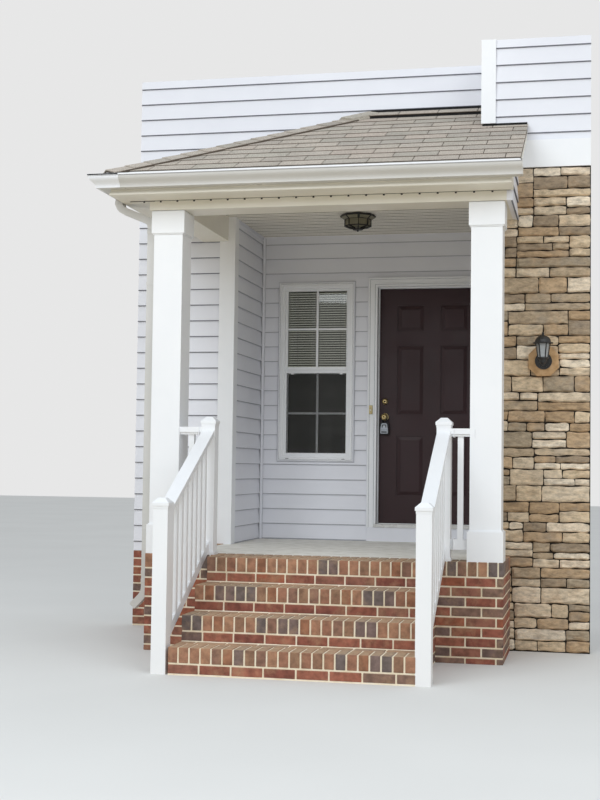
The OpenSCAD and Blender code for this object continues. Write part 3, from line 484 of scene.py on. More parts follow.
MORTAR = mottled("mortar", "e0d0b3 ecdfc6 f3e9d5", 14.0, 0.95, [(300.0, 1.0)])
BRICK = brick_finish()
CONCRETE = mottled("concrete", "dcd8ce ebe8e0 f7f4ee", 9.0, 0.9, [(60.0, 0.8), (500.0, 0.5)], 9.0)
TRIM = vinyl_finish("white_trim", "eff1f4", "f6f7f9", 0.38, False)
SIDING = vinyl_finish("white_siding", "e6e7ee", "eeeff5", 0.5, True)
# Greys for lines of painted shade: under the siding courses, in open joints and along the trim and gutter.
# The soft one is paler.
LAP = mottled("lap_shadow", "6c6e78 787a84", 9.0, 0.9, [(80.0, 0.3)])
SOFT_SHADE = mottled("soft_painted_shade", "b0b1b7 babbc1", 9.0, 0.9, [(80.0, 0.3)])
METAL = metal_coat("cream_metal", "e6e2d5", "ece8dd", 0.38)
GUTTER_METAL = metal_coat("gutter_metal", "cac9c4", "d3d1ce", 0.32, 0.9)
# Brighter than the gutter: for the corner mitre, and as a painted highlight along the gutter's rim.
CORNER_METAL_AND_HIGHLIGHT = metal_coat("gutter_corner_metal_and_highlight", "ebedf1", "f2f3f6", 0.3, 0.6)
BOARDS = board_finish()
# Painted shade for the ceiling's grooves, and for the CAD ceiling that shows between the boards.
BOARD_GAP_SHADE = mottled("board_gap_shade", "7d776a 898376", 12.0, 0.8, [(60.0, 0.3)])
SHINGLE = shingle_finish()
# Painted shade: the dark in the shingles' slits, under their butts and beside the hip caps.
SHINGLE_SHADE = mottled("shingle_painted_shade", "54493f 655a50", 60.0, 0.95, [(500.0, 1.0)])
BLACK = metal_coat("black_metal", "1b1a19", "262422", 0.42, 0.3)
STONE_JOINT_SHADE = joint_shade_finish()
STONE = stone_finish()
CAST = mottled("cast_stone", "b08c62 c6a075 d2b088", 26.0, 0.9, [(60.0, 2.4), (220.0, 1.4)], 7.0)
WINDOW_GLASS = window_finish()
SCREEN = screen_finish()
# Painted shade: the blind is coloured dark, as it looks in the dim room behind the glass.
SHADED_BLIND = vinyl_finish("blind", "5c594d", "686557", 0.5, False)
SILL = polished("sill_metal", "b9b9b8", "cfcfcd", 0.35, 0.3)
DOOR_PAINT = door_finish()
BRASS = polished("brass", "cdb47a", "e6d3a0", 0.3)
BELL_METAL = metal_coat("bell_metal", "b3a67a", "c6ba8e", 0.35, 0.2)
GREY = metal_coat("grey_metal", "b2b9c2", "c2c9d1", 0.35, 0.2)
STEEL = polished("steel_screw", "b5b5b3", "d0d0ce", 0.28)
# Painted shade in holes, slots, keyways and open joints, and the real dark parts of the key box.
DARK_PAINT_AND_SHADE = mottled("dark_paint_and_painted_shade", "0d0c0b 151413", 30.0, 0.9, [(200.0, 0.4)])
RUBBER = mottled("rubber_seal", "1a1a1b 262627", 40.0, 0.7, [(300.0, 0.2)])
IVORY = mottled("ivory_button", "d9d4c4 e4dfd0", 40.0, 0.35, [(200.0, 0.1)])
CLEAR = lamp_finish("clear_glass", 0.06, "d9dde0", "eceff0", 0.6)
FROST = lamp_finish("frosted_glass", 0.4, "8b8670", "9c9780", 0.35)
MILKY = lamp_finish("milky_bulb", 0.4)

# The CAD roof, ceiling and stone wall show only in the slits, grooves and gaps between the pieces laid on
# them, so their slots are darkened as painted shade.
SLOTS = {
    "brick": MORTAR, "concrete": CONCRETE, "white_trim": TRIM, "white_siding": SIDING,
    "cream_metal": METAL, "ceiling_boards": BOARD_GAP_SHADE, "shingles": SHINGLE_SHADE, "black_metal": BLACK,
    "lamp_glass": CLEAR, "ledgestone": STONE_JOINT_SHADE, "stone_block": CAST, "window_glass": WINDOW_GLASS,
    "screen": SCREEN, "blind": SHADED_BLIND, "sill_metal": SILL, "door_paint": DOOR_PAINT, "brass": BRASS,
    "grey_metal": RUBBER,
}


def dress_nodes():
    """Gives every CAD node the finished material of its slot."""
    for node in nodes.values():
        for place in node.material_slots:
            place.material = SLOTS[place.material.name.split(".")[0]]
    for name in ("gutter", "left_gutter", "downspout"):
        nodes[name].material_slots[0].material = GUTTER_METAL
    nodes["ceiling_light_glass"].material_slots[0].material = FROST
    nodes["doorbell"].material_slots[0].material = BELL_METAL
    # Painted shade: the vent's flashing is dark, as the shade in the vent's open side.
    nodes["roof_flashing"].material_slots[0].material = DARK_PAINT_AND_SHADE


# Siding


def course_feet(low, high):
    """Heights of the feet of the siding courses between two heights."""
    first = math.ceil((low - SIDING_FOOT) / COURSE)
    last = math.floor((high - SIDING_FOOT) / COURSE)
    return [SIDING_FOOT + COURSE * k for k in range(first, last + 1)]


def siding_lap_shade():
    """Strips of painted shade in the gap under the foot of each siding course, on every clad wall: paler
    inside the recess.
    """
    work, soft = Work(), Work()
    gap, front, back = 5.5, 1.5, 11.0
    left, right, sill, head = WINDOW
    for x0, x1, y, z0, z1 in (
        (-WALL_END, RECESS_LEFT - 12, 0, WALL_FOOT, WALL_TOP),
        (RECESS_LEFT - 12, WING_SIDE, 0, CEILING + 20, WALL_TOP),
        (WING_SIDE, WALL_END, WING_FRONT, STONE_TOP, WALL_TOP),
        (RECESS_LEFT, left, RECESS_BACK, FLOOR, CEILING),
        (left, right, RECESS_BACK, FLOOR, sill), (left, right, RECESS_BACK, head, CEILING),
        (right, FRAME_LEFT, RECESS_BACK, FLOOR, CEILING),
        (FRAME_LEFT, WING_SIDE, RECESS_BACK, FRAME_TOP, CEILING),
        (FRAME_RIGHT, WING_SIDE, RECESS_BACK, FLOOR, FRAME_TOP),
    ):
        # Painted shade: a dark strip under the foot of each course, paler on the back wall of the recess.
        for z in course_feet(z0 + 1, z1 - 1):
            shade_strips = soft if y == RECESS_BACK else work
            shade_strips.box((x0, y + front, z - gap), (x1, y + back, z + 0.2), 0.3)
    for x, lean, y0, y1, z0, z1 in (
        (RECESS_LEFT, -1, CORNER, RECESS_BACK, FLOOR, CEILING),
        (WING_SIDE, 1, WING_FRONT + 120, RECESS_BACK, FLOOR, CEILING),
        (WING_SIDE, 1, WING_FRONT + 127, 0, CEILING + 20, WALL_TOP),
        (GABLE_X, -1, GABLE_FRONT, WING_FRONT, BEAM_FOOT, ROOF_TOP - ROOF_THICK + PITCH * WING_FRONT),
    ):
        # Painted shade on the side walls: a dark strip under the foot of each course, paler inside the
        # recess.
        for z in course_feet(z0 + 1, z1 - 1):
            slope = (z - ROOF_TOP + ROOF_THICK) / PITCH if x == GABLE_X else y0
            shade_strips = soft if z1 == CEILING else work
            shade_strips.box((x + lean * front, max(y0, slope), z - gap), (x + lean * back, y1, z + 0.2), 0.3)
    soft.make("recess_lap_shade", SOFT_SHADE, "white_siding")
    work.make("siding_lap_shade", LAP, "white_siding")


def siding_trim():
    """The posts in the inside corners, the channels round the openings and the strips under the ceiling."""
    work = Work()
    top = CEILING - 0.5
    work.box((RECESS_LEFT - 2, RECESS_BACK - 19, FLOOR), (RECESS_LEFT + 6, RECESS_BACK - 3, top), 1)
    work.box((RECESS_LEFT - 2, RECESS_BACK - 6, FLOOR), (RECESS_LEFT + 19, RECESS_BACK + 4, top), 1)
    work.box((RECESS_LEFT - 2, CORNER + 2, top - 17), (RECESS_LEFT + 5, RECESS_BACK - 19, top), 1)
    work.box((RECESS_LEFT - 2, CORNER + 2, top - 44), (RECESS_LEFT + 3, RECESS_BACK - 19, top - 30), 1)
    work.box((RECESS_LEFT + 19, RECESS_BACK - 5, top - 17), (WING_SIDE, RECESS_BACK + 3, top), 1)
    work.box((WING_SIDE - 1, RECESS_BACK + 14, FLOOR), (WING_SIDE + 13, DOOR_BACK - 0.3, CEILING + 19), 0.5,
             tone=(0.5, 0.5, 0.5))
    left, right, sill, head = WINDOW
    work.border(left - 41, right + 41, sill - 41, head + 41, 9.5, RECESS_BACK - 10, RECESS_BACK + 3)
    edge = CASING + 9
    work.border(FRAME_LEFT - edge, WING_SIDE, KICK_TOP, FRAME_TOP + edge, 9.5,
                RECESS_BACK - 10, RECESS_BACK + 3, sides="LT")
    work.make("siding_trim", SIDING, "white_siding")


def dark_lines():
    """Thin strips of painted shade in the open joints where the siding runs into its corner post and
    channels.
    """
    work = Work()
    top = CEILING - 1
    work.box((RECESS_LEFT - 3, RECESS_BACK - 23, FLOOR), (RECESS_LEFT + 1.5, RECESS_BACK - 18.5, top), 0.4)
    work.box((RECESS_LEFT + 18.5, RECESS_BACK - 2, FLOOR), (RECESS_LEFT + 22, RECESS_BACK + 2, top), 0.4)
    work.box((RECESS_LEFT - 3, CORNER + 0.5, FLOOR), (RECESS_LEFT + 1.5, CORNER + 3.5, top), 0.4)
    left, right, sill, head = WINDOW
    work.border(left - 44, right + 44, sill - 44, head + 44, 3, RECESS_BACK - 3, RECESS_BACK + 3, 0.4)
    work.make("siding_joint_shade", SOFT_SHADE, "white_siding")


# Brickwork


def brick(work, low, high, kind):
    """One brick with worn edges, set a little in or out."""
    work.box(low, high, 3.0, tone=(chance.random(), kind, chance.random()))


def courses_down(top, foot, first=0.0):
    """Stretcher courses as (bottom, top, offset) from a top height down to a foot."""
    made, high, shift = [], top - first, 0
    while high > foot + 12:
        low = max(high - BRICK_HIGH, foot)
        made.append((low, high, shift * BRICK_LONG / 2))
        high, shift = high - BRICK_HIGH - JOINT, 1 - shift
    return made


def spans(start, end, long, offset=0.0):
    """Lengths of brick between two ends, with a joint between each and the next."""
    made, at = [], start - offset
    while at < end - 1:
        low, high = max(at, start), min(at + long, end)
        at += long + JOINT
        if end - high < 28:
            high = at = end
        if high - low > 18:
            made.append((low, high))
    return made


def brick_steps():
    """Rowlock nosings over a course of stretchers, on the front, treads and sides of each step."""
    work = Work()
    left, right = STEP_LEFT - PROUD, STEP_RIGHT + PROUD
    for k in range(STEPS):
        top = RISER * (k + 1)
        face = STEP_FACE - TREAD * (STEPS - 1 - k)
        back = face + TREAD if k < STEPS - 1 else FRONT
        nose = top - BRICK_DEEP
        deep = back - face > BRICK_LONG + 30
        pitch = (right - left + JOINT) / round((right - left + JOINT) / ROWLOCK_PITCH)
        x = left
        while x < right - 10:
            dip = chance.uniform(-0.8, 0.8)
            brick(work, (x, face - PROUD - dip, nose),
                  (x + pitch - JOINT, face + BRICK_LONG, top + PROUD + dip / 2), ROWLOCK)
            x += pitch
        under = nose - JOINT
        for a, b in spans(left, right, BRICK_LONG, 60 if k % 2 else 0):
            out = PROUD + chance.uniform(-0.8, 0.8)
            brick(work, (a, face - out, under - BRICK_HIGH), (b, face + BRICK_DEEP, under), STRETCHER)
        if deep:
            for a, b in spans(left, right, BRICK_LONG, 97):
                brick(work, (a, face + BRICK_LONG + JOINT, nose), (b, back + 4, top + PROUD), ROWLOCK)
        for side, lean in ((STEP_LEFT, -1), (STEP_RIGHT, 1)):
            past = back - face + 4 if deep else BRICK_LONG
            for low, high, start in ((nose, top, past), (under - BRICK_HIGH, under, BRICK_DEEP)):
                for a, b in spans(face + start + JOINT, FRONT, BRICK_LONG, 40 * k):
                    rise = PROUD if b < back and high == top else 0
                    brick(work, (side + lean * PROUD, a, low), (side - lean * 30, b, high + rise), STRETCHER)
    work.make("step_bricks", BRICK, "brick")


def mortar_fillets():
    """The trowelled line of mortar where each riser stands on the tread below it."""
    work = Work()
    for k in range(STEPS):
        face = STEP_FACE - TREAD * (STEPS - 1 - k)
        foot = RISER * k
        x = STEP_LEFT - 2
        while x < STEP_RIGHT:
            end = min(x + chance.uniform(70, 160), STEP_RIGHT + 2)
            out, up = chance.uniform(6, 11), chance.uniform(6, 10)
            outline = [(face + 2, foot), (face - out, foot), (face - out * 0.4, foot + PROUD + up * 0.5),
                       (face + 2, foot + PROUD + up)]
            work.skin([[(a, y, z) for y, z in outline] for a in (x, end)])
            x = end
    work.make("mortar_fillets", MORTAR, "brick")


def foundation_bricks():
    """A rowlock kerb round the floor, and stretcher courses below it to the ground."""
    work = Work()
    nose = FLOOR - BRICK_DEEP
    wide = BRICK_HIGH + 2
    sides = ((-SIDE, -1, -2), (SIDE, 1, WING_FRONT - 2))
    for x, end in spans(-SIDE - PROUD, SIDE + PROUD, wide):
        brick(work, (x, FRONT - PROUD, nose), (end, FRONT + KERB, FLOOR + PROUD), ROWLOCK)
    for side, lean, back in sides:
        for y, end in spans(FRONT + KERB + JOINT, back, wide):
            brick(work, (side + lean * PROUD, y, nose), (side - lean * KERB, end, FLOOR + PROUD), ROWLOCK)
    for low, high, shift in courses_down(nose - JOINT, 0):
        for x0, x1 in ((-SIDE - PROUD, STEP_LEFT - PROUD), (STEP_RIGHT + PROUD, SIDE + PROUD)):
            for a, b in spans(x0, x1, BRICK_LONG, shift):
                brick(work, (a, FRONT - PROUD, low), (b, FRONT + 40, high), STRETCHER)
        for side, lean, back in sides:
            for a, b in spans(FRONT + 40 + JOINT, back, BRICK_LONG, shift):
                brick(work, (side + lean * PROUD, a, low), (side - lean * 40, b, high), STRETCHER)
    work.make("foundation_bricks", BRICK, "brick")


def base_bricks():
    """The brick base under the siding of the main wall."""
    work = Work()
    for low, high, shift in courses_down(WALL_FOOT, 0, 2):
        for a, b in spans(-WALL_END - 0.8, -SIDE - JOINT, BRICK_LONG, shift):
            brick(work, (a, 12 - PROUD, low), (b, 50, high), STRETCHER)
    work.make("base_bricks", BRICK, "brick")


# Roof

TAB, BREAK, SLIT = 305, 152.5, 7.0
COURSES = 12


def slope_frame(corner, along, up):
    """Places x along the eave, y up the slope and z out of it."""
    up = Vector(up).normalized()
    return axes(corner, along, up, Vector(along).cross(up))


def tabs(work, shade, place, courses):
    """Three-tab courses up a slope, each as (low, high, left, right, left at the top, right at the top), with
    a dark strip along each butt for its asphalt edge and the painted shade under it.
    """
    for row, (low, high, left, right, left_top, right_top) in enumerate(courses):
        start = BREAK * (row % 2) + 31
        at = math.floor((left - start) / TAB) * TAB + start
        while at < right:
            a, b = max(at + SLIT, left), min(at + TAB, right)
            at += TAB
            if b - a < 14:
                continue
            top_a, top_b = max(a, left_top), min(b, right_top)
            if top_b - top_a < 6:
                top_a, top_b = (top_a, top_a + 6) if left_top > a else (top_b - 6, top_b)
            lift, head = 6.8 + chance.uniform(-0.6, 0.9), high + 18
            points = [(a, low, -1), (b, low, -1), (top_b, head, -3), (top_a, head, -3),
                      (a, low, lift), (b, low, lift), (top_b, head, 0.8), (top_a, head, 0.8)]
            faces = [(3, 2, 1, 0), (4, 5, 6, 7), (0, 1, 5, 4), (1, 2, 6, 5), (2, 3, 7, 6), (3, 0, 4, 7)]
            work.add(points, faces, place)
        # Painted shade: a dark strip along the butt of the course, over its dark asphalt edge.
        shade.box((left + 2, low - 1.6, -1), (right - 2, low + 1, 4.8), 0.4, place)


def shingles():
    """Twelve courses on each slope, cut on the hip and broken half a tab, and one course over the vent."""
    rise = math.hypot(1, PITCH)
    plan = -EAVE_Y / COURSES
    front, left = [], []
    for k in range(COURSES):
        low, high = k * plan, (k + 1) * plan
        right = RAKE_X + 5 if low < WING_FRONT - EAVE_Y - 5 else WING_SIDE - 1
        front.append((low * rise, high * rise, EAVE_X + low, right, EAVE_X + high, right))
        left.append((low * rise, high * rise, 0, -EAVE_Y - low, 0, -EAVE_Y - high))
    foot = ROOF_TOP + PITCH * EAVE_Y
    front_place = slope_frame((0, EAVE_Y, foot), (1, 0, 0), (0, 1, PITCH))
    left_place = slope_frame((EAVE_X, 0, foot), (0, -1, 0), (1, 0, PITCH))
    shade, work = Work(), Work()
    tabs(work, shade, front_place, front)
    low, high = -EAVE_Y - VENT_DEPTH + 3, -EAVE_Y - 34
    vent_place = front_place @ Matrix.Translation((0, 0, VENT_HIGH / rise))
    right = WING_SIDE - 1
    tabs(work, shade, vent_place, [(low * rise, high * rise, EAVE_X + low, right, EAVE_X + high, right)])
    work.make("front_shingles", SHINGLE, "shingles")
    work = Work()
    tabs(work, shade, left_place, left)
    work.make("left_shingles", SHINGLE, "shingles")
    edge = Work()
    edge.box((EAVE_X - 1.2, EAVE_Y - 1.2, foot - 42), (RAKE_X, EAVE_Y + 0.8, foot - 2), 0.5)
    edge.box((EAVE_X - 1.2, EAVE_Y + 0.8, foot - 42), (EAVE_X + 0.8, -1, foot - 2), 0.5)
    edge.make("drip_edge", GUTTER_METAL, "shingles")
    shade.make("shingle_butt_shade", SHINGLE_SHADE, "shingles")


def hip_caps():
    """Folded caps that overlap up the hip, over a dark strip of painted shadow that shows beside them."""
    foot = Vector((EAVE_X, EAVE_Y, ROOF_TOP + PITCH * EAVE_Y))
    head = Vector((APEX_X - VENT_DEPTH, -VENT_DEPTH, ROOF_TOP - PITCH * VENT_DEPTH))
    side = Vector((1, -1, 0)).normalized()
    up = (head - foot).normalized()
    place = axes(foot, side, up, side.cross(up))
    fall = PITCH / math.sqrt(2) / math.hypot(1, PITCH / math.sqrt(2)) * 0.98
    half, count, long = 118, 14, (head - foot).length
    across = (-half, -half / 2, -8, 0, 8, half / 2, half)

    def fold(y, top, thick, shrink=0):
        over = [(x * (1 - shrink / half), y, top - abs(x) * fall) for x in across]
        return over + [(x, y, z - thick) for x, y, z in reversed(over)]

    work, shade = Work(), Work()
    for k in range(count):
        low, high = k * long / count, min((k + 1) * long / count + 40, long)
        work.skin([fold(low, 20, 7), fold(high, 13, 6)], place)
    end = long + VENT_DEPTH * 1.44
    work.skin([fold(long - 60, VENT_HIGH + 10, 30), fold(end, VENT_HIGH + 9, 30)], place)
    # Painted shadow: a dark strip a little wider than the caps, just under them.
    shade.skin([fold(3, 12, 11, -7), fold(long, 12, 11, -7)], place)
    shade.make("hip_cap_shadow", SHINGLE_SHADE, "shingles")
    work.make("hip_caps", SHINGLE, "shingles")


# Stone


def stone(work, place, limit, x0, x1, z0, z1, depth):
    """One split stone with a rough face and wavering, worn edges, standing out by about its depth."""
    wide, high = x1 - x0, z1 - z0
    nx, nz = max(5, round(wide / 16)), max(4, round(high / 10))
    seed = Vector((chance.uniform(0, 99), chance.uniform(0, 99), 0))
    lean, turn = chance.uniform(-0.09, 0.09), chance.uniform(-0.03, 0.03)
    round_off = chance.uniform(0, 5)
    rows = []
    for j in range(nz + 1):
        v = j / nz
        for i in range(nx + 1):
            u = i / nx
            rough = noise.noise(Vector((u * wide / 48, v * high / 26, 0)) + seed)
            fine = noise.noise(Vector((u * wide / 14, v * high / 9, 3)) + seed)
            near = [min(t, 1) for t in (u * wide / 9, (1 - u) * wide / 9, v * high / 9, (1 - v) * high / 9)]
            corner = (1 - min(near[:2])) * (1 - min(near[2:])) * round_off
            in_x, in_z = (0.5 - u) * 2 * corner, (0.5 - v) * 2 * corner
            edge = (1 - (1 - min(near)) ** 2) * 0.6 + 0.4
            sag_x = 5 * noise.noise(Vector((v * high / 40, 7, 1)) + seed)
            sag_z = 8 * noise.noise(Vector((u * wide / 75, 3, 5 + round(v))) + seed)
            out = (depth + 8 * rough + 3 * fine) * edge + lean * (v - 0.5) * high + turn * (u - 0.5) * wide
            x = min(max(x0 + u * wide + sag_x + in_x, 1), limit - 1)
            rows.append((x, -max(out, 1.5), z0 + v * high + sag_z + in_z))
    w = nx + 1
    rim = list(range(w)) + [j * w + nx for j in range(1, nz + 1)]
    rim += [nz * w + i for i in range(nx - 1, -1, -1)] + [j * w for j in range(nz - 1, 0, -1)]
    back = [(rows[i][0], 3, rows[i][2]) for i in rim]
    low_corners = (j * w + i for j in range(nz) for i in range(nx))
    faces = [[c, c + 1, c + w + 1, c + w] for c in low_corners]
    base, turns = len(rows), len(rim)
    faces += [[rim[k], base + k, base + (k + 1) % turns, rim[(k + 1) % turns]] for k in range(turns)]
    faces.append([base + k for k in range(turns)])
    work.add(rows + back, faces, place)


def ledgestone():
    """Stacked stones in bands of one to three uneven courses, returned round the corner beside the porch."""
    work = Work()
    front = Matrix.Translation((WING_SIDE, WING_FRONT, 0))
    beside = Matrix.Translation((WING_SIDE, WING_FRONT + 120, 0)) @ Matrix.Rotation(-math.pi / 2, 4, "Z")
    limit = WALL_END - WING_SIDE
    z, top, gap = 5.0, STONE_TOP - 5, 6.5
    while z < top - 20:
        band = chance.uniform(112, 190)
        if top - z - band < 90:
            band = top - z
        x = 2.0
        while x < limit - 4:
            wide = chance.uniform(190, 430)
            if limit - x - wide < 140:
                wide = limit - 2 - x
            layers = max(1, round(band / chance.uniform(56, 96)))
            cuts = [0.0] + [(k + chance.uniform(-0.22, 0.22)) / layers for k in range(1, layers)] + [1.0]
            for low, up in zip(cuts, cuts[1:]):
                foot = max(z + low * band, FLOOR + 4) + gap / 2
                head = min(z + up * band, CEILING - 8) - gap / 2
                if x < 3 and head - foot > 18:
                    stone(work, beside, 128, 2, 126, foot, head, 9)
                ends = [0, chance.uniform(0.3, 0.7), 1] if wide > 240 and chance.random() < 0.5 else [0, 1]
                for a, b in zip(ends, ends[1:]):
                    stone(work, front, limit, x + a * wide + gap / 2, x + b * wide - gap / 2,
                          z + low * band + gap / 2, z + up * band - gap / 2, chance.uniform(8, 27))
            x += wide
        z += band
    work.make("ledgestones", STONE, "ledgestone", smooth=True)


# Boards and trim


def ceiling_boards():
    """Boards under the porch ceiling, parallel to the facade, each with a wide and a fine groove and a strip
    of painted shade along the front of each board.
    """
    work, shade = Work(), Work()
    pitch, groove, bead = 127.0, 13.0, 4.0
    y = BEAM_FACE + BEAM_WIDE
    while y < RECESS_BACK - 6:
        left = -BEAM_INNER if y < 0 else RECESS_LEFT
        right = BEAM_INNER if y < WING_FRONT else WING_SIDE
        half = (pitch - groove) / 2
        for start in (y, y + half + bead / 2):
            end = min(start + half - bead / 2, RECESS_BACK - 1)
            if end - start > 6:
                work.box((left, start, CEILING - 6), (right, end, CEILING + 1), 1.5)
                # Painted shade: a dark strip along the front of the board, wider at the wide groove.
                dark = 3.2 if start == y else 1.6
                shade.box((left, start - dark, CEILING - 6.3), (right, start + 0.8, CEILING + 1), 0.3)
        y += pitch
    shade.make("ceiling_groove_shade", BOARD_GAP_SHADE, "ceiling_boards")
    work.make("ceiling_boards", BOARDS, "ceiling_boards")


def soffit_vents():
    """Weep holes in the channel where the soffit meets the beam, on a thin open joint, all painted dark as
    the shade inside them.
    """
    work = Work()
    x, pitch = -1300.0, 122.5
    while x < GABLE_X - 30:
        work.box((x, BEAM_FACE - 3, SOFFIT - 12), (x + 13, BEAM_FACE + 1, SOFFIT - 1), 2.5)
        x += pitch
    work.box((-1360, BEAM_FACE - 2.5, SOFFIT - 2.2), (GABLE_X - 14, BEAM_FACE + 1, SOFFIT + 1), 0.4)
    work.box((-1400, BEAM_FACE - 3, SOFFIT - 4), (-1215, BEAM_FACE + 1, SOFFIT + 1), 0.8)
    work.make("soffit_vents", DARK_PAINT_AND_SHADE, "cream_metal")


def ogee():
    """The outside of the gutter from its foot to its rim, as (distance from the fascia, height)."""
    line = [(GUTTER_WIDE * (0.62 + 0.34 * t - 0.05 * math.sin(2 * math.pi * t)), GUTTER_HIGH * 0.86 * t)
            for t in (k / 12 for k in range(13))]
    return [(62.0, -0.6)] + line + [(GUTTER_WIDE, GUTTER_HIGH * 0.9), (GUTTER_WIDE, GUTTER_HIGH)]


def gutter_corner():
    """The box mitre over the corner, a painted highlight along the rim with a line of painted shade under it,
    the bead of the stop end, and the hangers across the trough.
    """
    loop = [(d + 1.6, z) for d, z in ogee()] + [(d - 0.5, z + 0.3) for d, z in reversed(ogee())]
    reach = 95

    def front(x, mitre):
        return [(FASCIA_X - d if mitre else x, FASCIA_Y - d, GUTTER_FOOT + z) for d, z in loop]

    def left(y, mitre):
        return [(FASCIA_X - d, FASCIA_Y - d if mitre else y, GUTTER_FOOT + z) for d, z in loop]

    work = Work()
    work.skin([front(0, True), front(FASCIA_X + reach, False)])
    work.skin([left(FASCIA_Y + reach, False), left(0, True)])
    work.make("gutter_corner", CORNER_METAL_AND_HIGHLIGHT, "cream_metal")
    # Painted highlight: a bright strip along the rim. Painted shade: a grey line just under it.
    lip, groove = Work(), Work()
    for piece, out, low, high in ((lip, 1.6, GUTTER_HIGH - 9, GUTTER_HIGH + 1), (groove, 0.6, 76.5, 79)):
        rim, low, high = GUTTER_WIDE + out, GUTTER_FOOT + low, GUTTER_FOOT + high
        inner_x, inner_y = FASCIA_X - GUTTER_WIDE + 3, FASCIA_Y - GUTTER_WIDE + 3
        piece.box((FASCIA_X - rim, FASCIA_Y - rim, low), (GUTTER_END + 0.8, inner_y, high), 2.5)
        piece.box((FASCIA_X - rim, inner_y, low), (inner_x, -1, high), 2.5)
    lip.make("gutter_lip_highlight", CORNER_METAL_AND_HIGHLIGHT, "cream_metal")
    groove.make("gutter_shade_line", SOFT_SHADE, "cream_metal")
    work = Work()
    work.skin([front(GUTTER_END - 9, False), front(GUTTER_END + 0.8, False)])
    work.skin([left(-1, False), left(-12, False)])
    rim = GUTTER_FOOT + GUTTER_HIGH - 8
    for k in range(5):
        x = -1200 + 600 * k
        work.box((x, FASCIA_Y - GUTTER_WIDE + 4, rim), (x + 24, FASCIA_Y - 2, rim + 2.5), 0.8)
    for y in (-1300, -800, -300):
        work.box((FASCIA_X - GUTTER_WIDE + 4, y, rim), (FASCIA_X - 2, y + 24, rim + 2.5), 0.8)
    work.make("gutter_hangers", GUTTER_METAL, "cream_metal")


def downspout_sleeves():
    """Crimped sleeves where the lengths of the downspout join, and the heads of the strap screws."""
    work = Work()
    half, deep = PIPE_WIDE / 2, PIPE_DEEP / 2
    for x, z in ((PIPE_X, 2936), (PIPE_X, 452), (FASCIA_X - 53, 3150)):
        work.box((x - half - 2, PIPE_Y - deep - 2, z), (x + half + 2, PIPE_Y + deep + 2, z + 34), 2.0)
        for rib in (8, 20):
            work.box((x - half - 3.2, PIPE_Y - deep - 3.2, z + rib),
                     (x + half + 3.2, PIPE_Y + deep + 3.2, z + rib + 6), 2.4)
    work.make("downspout_sleeves", GUTTER_METAL, "cream_metal")
    screws = Work()
    for z in (FLOOR - 150, FLOOR + 520, BEAM_FOOT - 520):
        seat = (PIPE_X - 25.5 if z < FLOOR else PIPE_X) + 34
        for y in (PIPE_Y - deep - 2.2, PIPE_Y + deep + 2.2):
            lean = 1 if y > PIPE_Y else -1
            screws.turn([(5, 0), (5, 1.5), (3, 2.8), (0.5, 3)], (seat - 4, y + 0.2 * lean, z + 12.5), "Y", 12)
    screws.make("strap_screws", STEEL, "cream_metal")


def rail_brackets():
    """The plates that hold the level rails to the newels, and their top rails to the columns."""
    work = Work()
    for x, lean in NEWELS:
        inner = x - lean * NEWEL_HALF
        column = inner - lean * GUARD_LONG
        for at, out in ((inner, -lean), (column, lean)):
            for z, high, wide in ((FLOOR + GUARD_HIGH - 60, 56, 52), (FLOOR + 76, 78, 44)):
                if z < FLOOR + 200 and at == column:
                    continue
                work.box((at, NEWEL_Y - wide, z), (at + out * 4, NEWEL_Y + wide, z + high), 1.2)
    work.make("rail_brackets", TRIM, "white_trim")


# Window


def window_parts():
    """Bars between the panes, the screen's frame and catches, and a bead round the trim; lines of painted
    shade in its weep slots, along the screen's edges and inside the bead.
    """
    work = Work()
    left, right, sill, head = WINDOW
    mid, half, tall = (left + right) / 2, 9.0, 8.5
    for y, low, high in ((988, 2149, 2806), (1018, 1411, 2091)):
        level = (low + high) / 2
        work.box((mid - half, y - 5, low - 2), (mid + half, y + 1.5, high + 2), 2.5)
        for a, b in ((PANE_LEFT - 2, mid - half + 1), (mid + half - 1, PANE_RIGHT + 2)):
            work.box((a, y - 5, level - tall), (b, y + 1.5, level + tall), 2.5)
    work.border(left + 12, right - 12, sill + 12, 2115, 20, 961, 966, 1.5)
    for x in (left + 70, right - 90):
        work.box((x, 958.5, 2084), (x + 26, 964, 2097), 1)
    work.border(left - 32, right + 32, sill - 32, head + 32, 7, 933.5, TRIM_IN, 1.5)
    work.border(left - 8, right + 8, sill - 8, head + 8, 8, 934.5, TRIM_IN, 1.5)
    work.make("window_bars", TRIM, "white_trim")
    slots = Work()
    # Painted shade in the weep slots under the sill and along the screen's edges.
    for x in (left + 34, right - 62):
        slots.box((x, LINE_FACE, sill - 19), (x + 28, 937.4, sill - 15), 0.5)
    slots.border(left + 11, right - 11, sill + 11, 2094, 2.5, 964, 967, 0.5, sides="LRB")
    slots.make("window_slot_shade", DARK_PAINT_AND_SHADE, "white_trim")
    groove = Work()
    # Painted shade: a dark line in the trim, inside the bead.
    groove.border(left - 25, right + 25, sill - 25, head + 25, 2.2, LINE_FACE, TRIM_IN, 0.4)
    groove.make("window_trim_shade_line", LAP, "white_trim")


